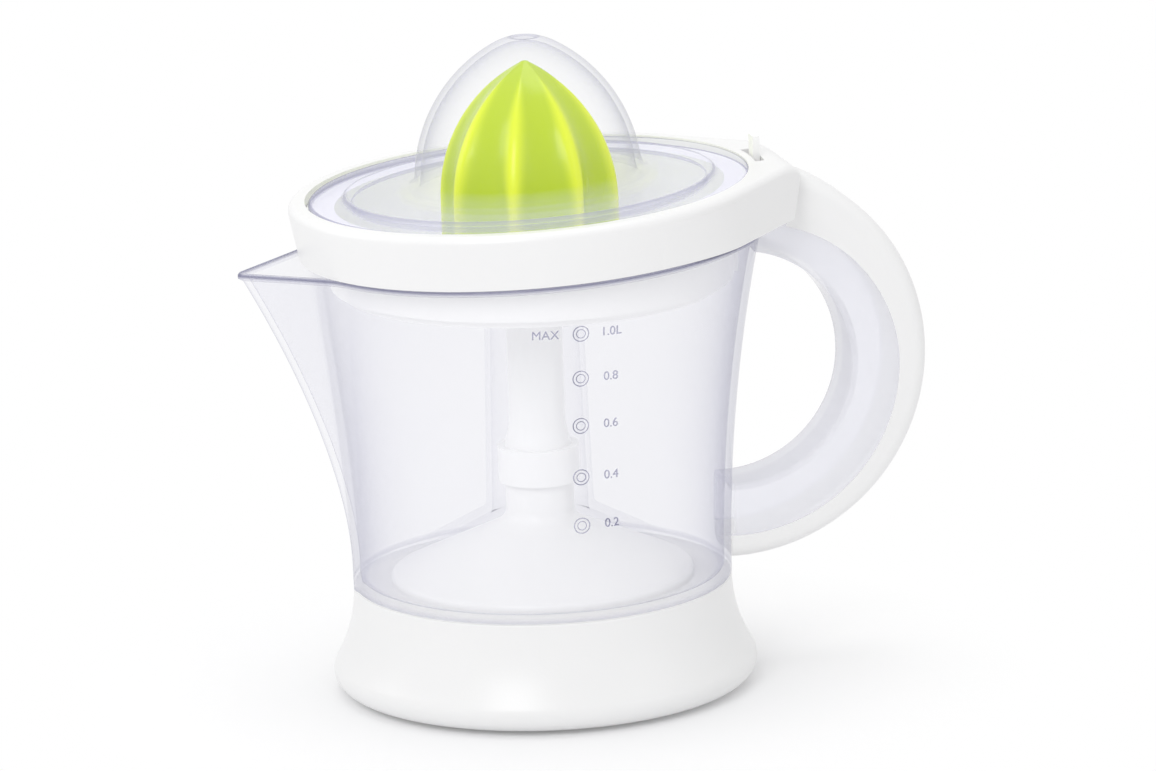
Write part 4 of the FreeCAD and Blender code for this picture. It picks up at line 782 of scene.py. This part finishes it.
def skirt_mesh(side):
    """Thin crescent by which the cover's flank reaches down over the channel near the tab.

    It lies between the seam's circle and a curve inside it, whose distance from the seam is
    width * (1 - t)^taper while t runs from the tab to the back of the handle. Both ends close in a point.
    """
    middle = np.array([66.0, 103.5]) * MM
    seam = 56.0 * MM
    width = 4.4 * MM
    flank = 12.5 * MM
    lap = 0.3 * MM
    taper = 1.4
    first = 69.6
    last = 2.0
    t = np.linspace(0.0, 1.0, 60)
    turn = np.radians(first + (last - first) * t)
    reach = np.stack([np.full_like(t, seam + lap), seam - width * (1.0 - t) ** taper])[[0, 1, 1, 0]]
    depth = np.array([0.06, 0.06, -0.25, -0.25])[:, None] * MM + flank
    place = np.stack([middle[0] + reach * np.cos(turn), side * np.broadcast_to(depth, reach.shape),
                      middle[1] + reach * np.sin(turn)], axis=-1)
    ends = [np.broadcast_to(place[:, column].mean(axis=0), (4, 3))[:, None] for column in (0, -1)]
    return surface("skirt", np.concatenate([ends[0], place, ends[1]], axis=1), ring=False, loop=True)


# Collar

class EasedTab:
    """Rounds off the end of the collar's tab, so that it meets the handle's cover flush.

    With x along the tilted rim plane and w above it, the top sinks by drop * t^2 * w / height, where t grows
    from nought to one over the tab's last stretch, and slides back along the sloped seam as it sinks.
    """
    start = 80.0 * MM
    end = 91.0 * MM
    drop = 4.3 * MM
    height = 18.3 * MM
    seam = math.tan(math.radians(20.0))

    def __init__(self):
        self.turn = math.cos(sizes().rim_tilt)
        self.lean = math.sin(sizes().rim_tilt)
        self.rise = sizes().rim_height

    def cut(self, work):
        """Lay cross lines over the tab, so that it can bend."""
        along = Vector((self.turn, 0.0, self.lean))
        for reach in np.linspace(self.start, self.end, 11)[:-1]:
            spot = along * float(reach) + Vector((0.0, 0.0, self.rise))
            every = work.verts[:] + work.edges[:] + work.faces[:]
            bmesh.ops.bisect_plane(work, geom=every, dist=1e-7, plane_co=spot, plane_no=along)
        bmesh.ops.triangulate(work, faces=work.faces[:])

    def move(self, place):
        """The points after the easing."""
        above = place[:, 2] - self.rise
        x = place[:, 0] * self.turn + above * self.lean
        w = above * self.turn - place[:, 0] * self.lean
        t = np.clip((x - self.start) / (self.end - self.start), 0.0, 1.0)
        sink = self.drop * t ** 2 * np.clip(w / self.height, 0.0, 1.0)
        return from_rim(x - sink * self.seam, place[:, 1], w - sink)


def fairing_mesh(side):
    """Thin fillet on the collar's flank where its cone runs into the flat side of the tab.

    Along the angle the distance from the axis goes from the cone's radius to the shoulder's by a smooth
    step, 3t^2 - 2t^3, and it sinks into the collar at both ends. Heights are above the tilted rim plane.
    """
    s = sizes()
    shoulder = 79.2 * MM
    foot = s.jug_rim + 1.0 * MM
    cone_height = 14.66 * MM
    meet = math.atan2(51.55, 60.13)
    spread = math.radians(28.0)
    dive = math.radians(3.0)
    turn = np.radians(np.linspace(30.0, -5.0, 48))[None, :]
    w = np.linspace(0.12, 15.0, 20)[:, None] * MM
    cone = foot + (shoulder - foot) * np.clip(w / cone_height, 0.0, 1.0)
    t = np.clip(1.0 - turn / spread, 0.0, 1.0)
    ahead = np.where(turn < 0.0, shoulder / np.cos(turn), shoulder)
    outer = cone + (ahead - cone) * (3 * t ** 2 - 2 * t ** 3)
    ends = np.clip(np.minimum(turn - turn.min(), turn.max() - turn) / dive, 0.0, 1.0)
    outer = outer + 0.06 * MM - 0.25 * MM * (1.0 - ends)
    inner = outer - 0.6 * MM * ends
    angle = -side * (meet + turn)
    grid = np.concatenate([polar(outer, angle, w), polar(inner[::-1], angle, w[::-1])])
    return surface("fairing", from_rim(grid[..., 0], grid[..., 1], grid[..., 2]), ring=False, loop=True)


# Cone

def cone_mesh():
    """Ribbed cone: at each height the ridge radius, less a round flute.

    The ridge follows one arc to the tip. A flute's section is a circle whose near side lies on the valley
    arc; across a flute the radius is C cos(a) - sqrt(q^2 - C^2 sin(a)^2) for a circle of radius q centred at
    C. A smooth minimum rounds the ribs. Each point has a number that is one on a rib and nought in a groove.
    """
    s = sizes()
    columns = 384
    angle = around(columns)[None, :]
    shoulder = 165.0 * MM
    skirt = 150.0 * MM
    tip_r = 2.6 * MM
    narrow = s.cone_ridge - tip_r
    arch = (narrow ** 2 + (s.cone_tip - shoulder) ** 2) / (2 * narrow)
    bow = 64.2 * MM
    rise = 6.3 * MM
    t = np.linspace(0.0, 1.0, 90)[:, None]
    height = skirt + (s.cone_tip - skirt) * t
    over = np.maximum(height - shoulder, 0.0)
    ridge = s.cone_ridge - arch + np.sqrt(arch ** 2 - over ** 2)
    lift = np.maximum(height - shoulder - rise, 0.0)
    near = bow - s.flute_round
    valley = s.cone_ridge - s.flute_depth - near + np.sqrt(np.maximum(near ** 2 - lift ** 2, 0.0))
    pitch = math.radians(45.0)
    across = (angle + pitch / 2) % pitch - pitch / 2
    middle = valley + s.flute_round
    reach = np.maximum(s.flute_round ** 2 - (middle * np.sin(across)) ** 2, 0.0)
    flute = middle * np.cos(across) - np.sqrt(reach)
    soft = 0.9 * MM
    least = 0.4 * MM
    radius = (ridge + flute - np.sqrt((ridge - flute) ** 2 + soft ** 2)) / 2
    radius = np.maximum(radius, least)
    body = polar(radius, angle, height)
    cap_share = np.array([0.75, 0.4, 0.0])[:, None]
    cap_rise = np.array([0.35, 0.6, 0.68])[:, None] * MM
    cap = polar(radius[-1:] * cap_share, angle, s.cone_tip + cap_rise)
    inside = MM * np.array([
        [0.0, 160.0], [12.4, 160.0], [12.4, 186.0], [20.2, 165.5], [20.4, 151.0], [21.0, 150.0],
    ])
    # painted light: one on a rib, where the cone is painted lighter, falling to nought in a groove, which
    # keeps the darker painted shade
    rib = np.clip(1.0 - (ridge - radius) / (0.10 * ridge), 0.0, 1.0) ** 1.5
    rib = np.concatenate([np.zeros((len(inside), columns)), rib, np.repeat(rib[-1:], len(cap), axis=0)])
    return surface("reamer cone", np.concatenate([turned(inside, columns), body, cap]), rib=rib)


# Base

def base_mesh():
    """Flared shell turned as one profile: lip, bulge, flare, ledge, dome and tower, then back inside.

    The profile is in millimetres. The flare is an arc that meets the bulge's arc in tangent.
    """
    s = sizes()
    bulge_r = 6.0
    big = s.base_bulge / MM
    waist = s.base_waist / MM
    ledge = s.ledge / MM
    centre = (big - bulge_r, 7.5)
    rise = ledge - centre[1]
    flare = big - waist
    sweep = (rise ** 2 + flare ** 2) / (2 * flare) - bulge_r
    far = (waist + sweep, ledge)
    meet = math.degrees(math.atan2(rise, far[0] - centre[0]))
    wall = 2.5
    outside = np.concatenate([
        arc(centre, bulge_r, -90.0, meet, 22),
        arc(far, sweep, 180.0 + meet, 180.0 + 0.7, 26)[1:],
    ])
    upper = softened([
        [waist + 0.02, ledge - 1.0], [waist, ledge], [50.5, ledge], [50.5, ledge + 3.0], [14.0, 56.0],
        [11.4, 58.6], [11.4, 78.5], [9.2, 78.5], [9.2, 60.0], [12.0, 54.0], [48.0, ledge + 0.5],
        [48.0, ledge - wall], [waist - wall, ledge - wall],
    ], [0.0, 0.9, 1.0, 1.2, 3.0, 2.0, 0.6, 0.5, 1.0, 1.0, 1.0, 1.0, 0.4], 5)
    inner = np.concatenate([
        arc(far, sweep + wall, 180.0 + 3.0, 180.0 + meet, 14),
        arc(centre, bulge_r - wall, meet, -90.0, 10)[1:],
        np.array([[62.5, 4.0], [62.5, 1.5]]),
    ])
    return surface("base housing", turned(np.concatenate([outside, upper, inner]) * MM, 192), loop=True)


# Scale marks

def wrapped(flat, middle_x, middle_z, proud=0.02 * MM):
    """Lay flat points (n, 3) on the jug's front: x runs round the wall, y up it and z out of it."""
    height = middle_z + flat[:, 1]
    base = wall_radius(height, 0.0)
    angle = -math.pi / 2 + (middle_x + flat[:, 0]) / base
    return polar(base + proud + flat[:, 2], angle, height)


def word_mesh(word, size):
    """Letters as a mesh, centred on x, in the plane."""
    curve = bpy.data.curves.new("word", "FONT")
    curve.body = word
    curve.size = size
    curve.align_x = "CENTER"
    curve.align_y = "CENTER"
    curve.extrude = 0.12 * MM
    holder = bpy.data.objects.new("word", curve)
    bpy.context.scene.collection.objects.link(holder)
    bpy.context.view_layer.update()
    mesh = bpy.data.meshes.new_from_object(holder.evaluated_get(bpy.context.evaluated_depsgraph_get()))
    bpy.data.objects.remove(holder)
    bpy.data.curves.remove(curve)
    return mesh


def mark_ring(radius, wire):
    """A small raised ring: a circle of section radius wire carried round a circle."""
    section = around(10)[:, None]
    return polar(radius + wire * np.cos(section), around(40)[None, :], wire * np.sin(section))


# Operators

class DressOperator:
    """Shared by the operators that dress the press."""
    bl_options = {"REGISTER", "UNDO"}


class PRESS_OT_jug(DressOperator, bpy.types.Operator):
    """Clear jug with its prow, floor cone and chimney"""
    bl_idname = "press.jug"
    bl_label = "Jug"

    def execute(self, context):
        piece("jug_skin", jug_mesh(), "jug", "clear_plastic", "jug", sharp=50.0)
        return {"FINISHED"}


class PRESS_OT_handle(DressOperator, bpy.types.Operator):
    """Clear handle channel and its white cover"""
    bl_idname = "press.handle"
    bl_label = "Handle"

    def execute(self, context):
        fine_copy("handle_channel", "jug_handle", "jug", "clear_plastic", finish="clear_handle")
        fine_copy("handle_back", "handle_cover", "jug", "white_plastic")
        for name, side in (("front", -1), ("rear", 1)):
            piece(f"cover_skirt_{name}", skirt_mesh(side), "jug", "white_plastic")
        return {"FINISHED"}


class PRESS_OT_lid(DressOperator, bpy.types.Operator):
    """Clear domed lid"""
    bl_idname = "press.lid"
    bl_label = "Lid"

    def execute(self, context):
        piece("lid_skin", lid_mesh(), "lid", "clear_plastic", "lid", sharp=50.0, finish="clear_lid")
        return {"FINISHED"}


class PRESS_OT_cone(DressOperator, bpy.types.Operator):
    """Ribbed cone that presses the fruit"""
    bl_idname = "press.cone"
    bl_label = "Cone"

    def execute(self, context):
        piece("cone_skin", cone_mesh(), "cone", "lime_plastic", "reamer_cone", sharp=60.0)
        return {"FINISHED"}


class PRESS_OT_strainer(DressOperator, bpy.types.Operator):
    """Collar, slotted basket, pulp gate and drive sleeve"""
    bl_idname = "press.strainer"
    bl_label = "Strainer"

    def execute(self, context):
        fine_copy("collar", "strainer_ring", "strainer", "white_plastic", shape=EasedTab())
        for name, side in (("front", 1), ("rear", -1)):
            piece(f"collar_fairing_{name}", fairing_mesh(side), "strainer", "white_plastic")
        # basket, gate and sleeve take the white finish with a painted glow, which lifts their shade inside
        # the jug
        fine_copy("basket", "strainer_basket", "strainer", "white_plastic", finish="white_painted_glow")
        fine_copy("gate", "pulp_gate", "gate", "white_plastic", finish="white_painted_glow")
        fine_copy("sleeve", "drive_sleeve", "sleeve", "white_plastic", finish="white_painted_glow")
        return {"FINISHED"}


class PRESS_OT_base(DressOperator, bpy.types.Operator):
    """Flared base shell"""
    bl_idname = "press.base"
    bl_label = "Base"

    def execute(self, context):
        # the base shell takes the white finish with a painted glow above the ledge, which lifts the shade of
        # the dome under the jug
        piece("base_shell", base_mesh(), "base", "white_plastic", "base_housing", sharp=40.0,
              finish="white_base_painted_glow")
        return {"FINISHED"}


class PRESS_OT_scale(DressOperator, bpy.types.Operator):
    """Litre marks moulded on the front of the jug"""
    bl_idname = "press.scale"
    bl_label = "Litre marks"

    def execute(self, context):
        heights = (135.2 * MM, 119.8 * MM, 103.6 * MM, 86.0 * MM, 69.5 * MM)
        words = ("1.0L", "0.8", "0.6", "0.4", "0.2")
        rings = ((2.55 * MM, 0.16 * MM), (1.45 * MM, 0.14 * MM))
        word_x = 10.2 * MM
        limit_x = -11.6 * MM
        for height, word in zip(heights, words):
            for number, (radius, wire) in enumerate(rings):
                ring = mark_ring(radius, wire)
                grid = wrapped(ring.reshape(-1, 3), 0.0, height).reshape(ring.shape)
                mesh = surface(f"mark {word}", grid, loop=True)
                piece(f"mark_{word}_{number}", mesh, "jug", "clear_plastic", finish="scale")
            self.letters(word, word_x, height)
        self.letters("MAX", limit_x, heights[0])
        return {"FINISHED"}

    def letters(self, word, x, z):
        """One word on the wall, its middle at x and z."""
        mesh = word_mesh(word, sizes().mark_height)
        flat = np.empty(len(mesh.vertices) * 3)
        mesh.vertices.foreach_get("co", flat)
        placed = wrapped(flat.reshape(-1, 3), x, z)
        mesh.vertices.foreach_set("co", placed.ravel())
        mesh.update()
        piece(f"word_{word}", mesh, "jug", "clear_plastic", finish="scale")


class PRESS_OT_works(DressOperator, bpy.types.Operator):
    """Finishes on the pieces inside the base and under it, and the spring that the rod presses"""
    bl_idname = "press.works"
    bl_label = "Works"

    def execute(self, context):
        slots = {entry["node"]: entry["material_slot"] for entry in frame["record"]["subparts"]}
        for node, made in frame["nodes"].items():
            made.data.materials.clear()
            made.data.materials.append(finishes()[slots[node]])
        low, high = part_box("return_spring")
        wire = 1.0 * MM
        crossing = ("base", "rod", (0.0, 0.0, low.z + wire), (0.0, 0.0, high.z - wire))
        fine_copy("spring", "return_spring", crossing, slots["return_spring"])
        return {"FINISHED"}


class PRESS_OT_stage(DressOperator, bpy.types.Operator):
    """Pale floor, soft lamps and the camera"""
    bl_idname = "press.stage"
    bl_label = "Stage"

    def execute(self, context):
        scene = context.scene
        scene.view_settings.view_transform = "Standard"
        self.sky(scene)
        self.floor(scene)
        self.lamps(scene)
        self.camera(scene)
        return {"FINISHED"}

    def sky(self, scene):
        """White where it is seen, a little dimmer where it lights the object."""
        dim = 0.70
        scene.world = bpy.data.worlds.new("studio")
        p = Paint("studio", scene.world)
        light = p.node("ShaderNodeBackground", {}, Color=(1.0, 1.0, 1.0, 1.0),
                       Strength=dim + (1.0 - dim) * p.seen())
        p.close(light, "ShaderNodeOutputWorld")

    def floor(self, scene):
        """Pale floor that turns to white away from the object, and keeps its shadow close by."""
        half = 6.0
        near = 0.075
        share_near = 0.3
        fade = 8.0
        p = Paint("studio floor")
        lit = p.node("ShaderNodeBsdfDiffuse", {}, Color=(0.93, 0.93, 0.94, 1.0))
        white = p.node("ShaderNodeEmission", {}, Color=(1.0, 1.0, 1.0, 1.0), Strength=1.0)
        share = (share_near + (p.size_of(p.place) - near) * fade).clamped() * p.seen()
        mixed = p.node("ShaderNodeMixShader", {}, share, lit, white)
        u = np.linspace(-half, half, 13)
        x, y = np.meshgrid(u, u)
        mesh = surface("floor", np.stack([x, y, np.zeros_like(x)], axis=-1), ring=False)
        mesh.materials.append(p.close(mixed))
        ground = bpy.data.objects.new("floor", mesh)
        scene.collection.objects.link(ground)

    def lamps(self, scene):
        """Soft square lamps: place, side in metres and power in watts."""
        aim = Vector((0.0, 0.0, 0.11))
        for name, place, size, power in (
            ("key", (-0.70, -1.15, 0.95), 0.7, 6.0),
            ("fill", (1.2, -1.0, 0.7), 0.8, 1.2),
            ("top", (0.0, 0.1, 1.5), 0.8, 5.0),
            ("strip", (-0.9, 0.35, 0.55), 0.4, 0.8),
        ):
            lamp = bpy.data.lights.new(name, "AREA")
            lamp.size = size
            lamp.energy = power
            made = bpy.data.objects.new(name, lamp)
            made.location = place
            made.rotation_euler = (aim - Vector(place)).to_track_quat("-Z", "Y").to_euler()
            scene.collection.objects.link(made)

    def camera(self, scene):
        """Camera at azimuth, elevation and roll about its aim, for a frame 1156 pixels wide."""
        frame_width = 1156.0
        sensor = 36.0
        s = scene.press_stage
        flat = math.cos(s.elevation)
        back = Vector((math.sin(s.azimuth) * flat, -math.cos(s.azimuth) * flat, math.sin(s.elevation)))
        level = Vector((math.cos(s.azimuth), math.sin(s.azimuth), 0.0))
        rise = back.cross(level)
        right = level * math.cos(s.roll) + rise * math.sin(s.roll)
        up = rise * math.cos(s.roll) - level * math.sin(s.roll)
        data = bpy.data.cameras.new("photo view")
        data.sensor_width = sensor
        data.lens = s.focal / frame_width * sensor
        data.clip_end = 50.0
        made = bpy.data.objects.new("photo view", data)
        place = level * s.aim_right + Vector((0.0, 0.0, s.aim_up)) + back * s.distance
        made.matrix_world = Matrix.Translation(place) @ Matrix((right, up, back)).transposed().to_4x4()
        scene.collection.objects.link(made)
        scene.camera = made


OPERATORS = (
    PRESS_OT_works, PRESS_OT_base, PRESS_OT_jug, PRESS_OT_handle, PRESS_OT_strainer, PRESS_OT_cone,
    PRESS_OT_lid, PRESS_OT_scale, PRESS_OT_stage,
)


class PRESS_PT_panel(bpy.types.Panel):
    """Lists the pieces of the press"""
    bl_label = "Citrus press"
    bl_space_type = "VIEW_3D"
    bl_region_type = "UI"
    bl_category = "Citrus press"

    def draw(self, context):
        for operator in OPERATORS:
            self.layout.operator(operator.bl_idname)
        for name, group in GROUPS:
            for key in group.__annotations__:
                self.layout.prop(getattr(context.scene, name), key)


CLASSES = (PressSizes, PressFinishes, PressStage, *OPERATORS, PRESS_PT_panel)


def register():
    for item in CLASSES:
        bpy.utils.register_class(item)
    for name, group in GROUPS:
        setattr(bpy.types.Scene, name, PointerProperty(type=group))


def unregister():
    for name, _ in GROUPS:
        delattr(bpy.types.Scene, name)
    for item in reversed(CLASSES):
        bpy.utils.unregister_class(item)


def main():
    register()
    for operator in OPERATORS:
        group, name = operator.bl_idname.split(".")
        getattr(getattr(bpy.ops, group), name)()


if __name__ == "__main__":
    main()
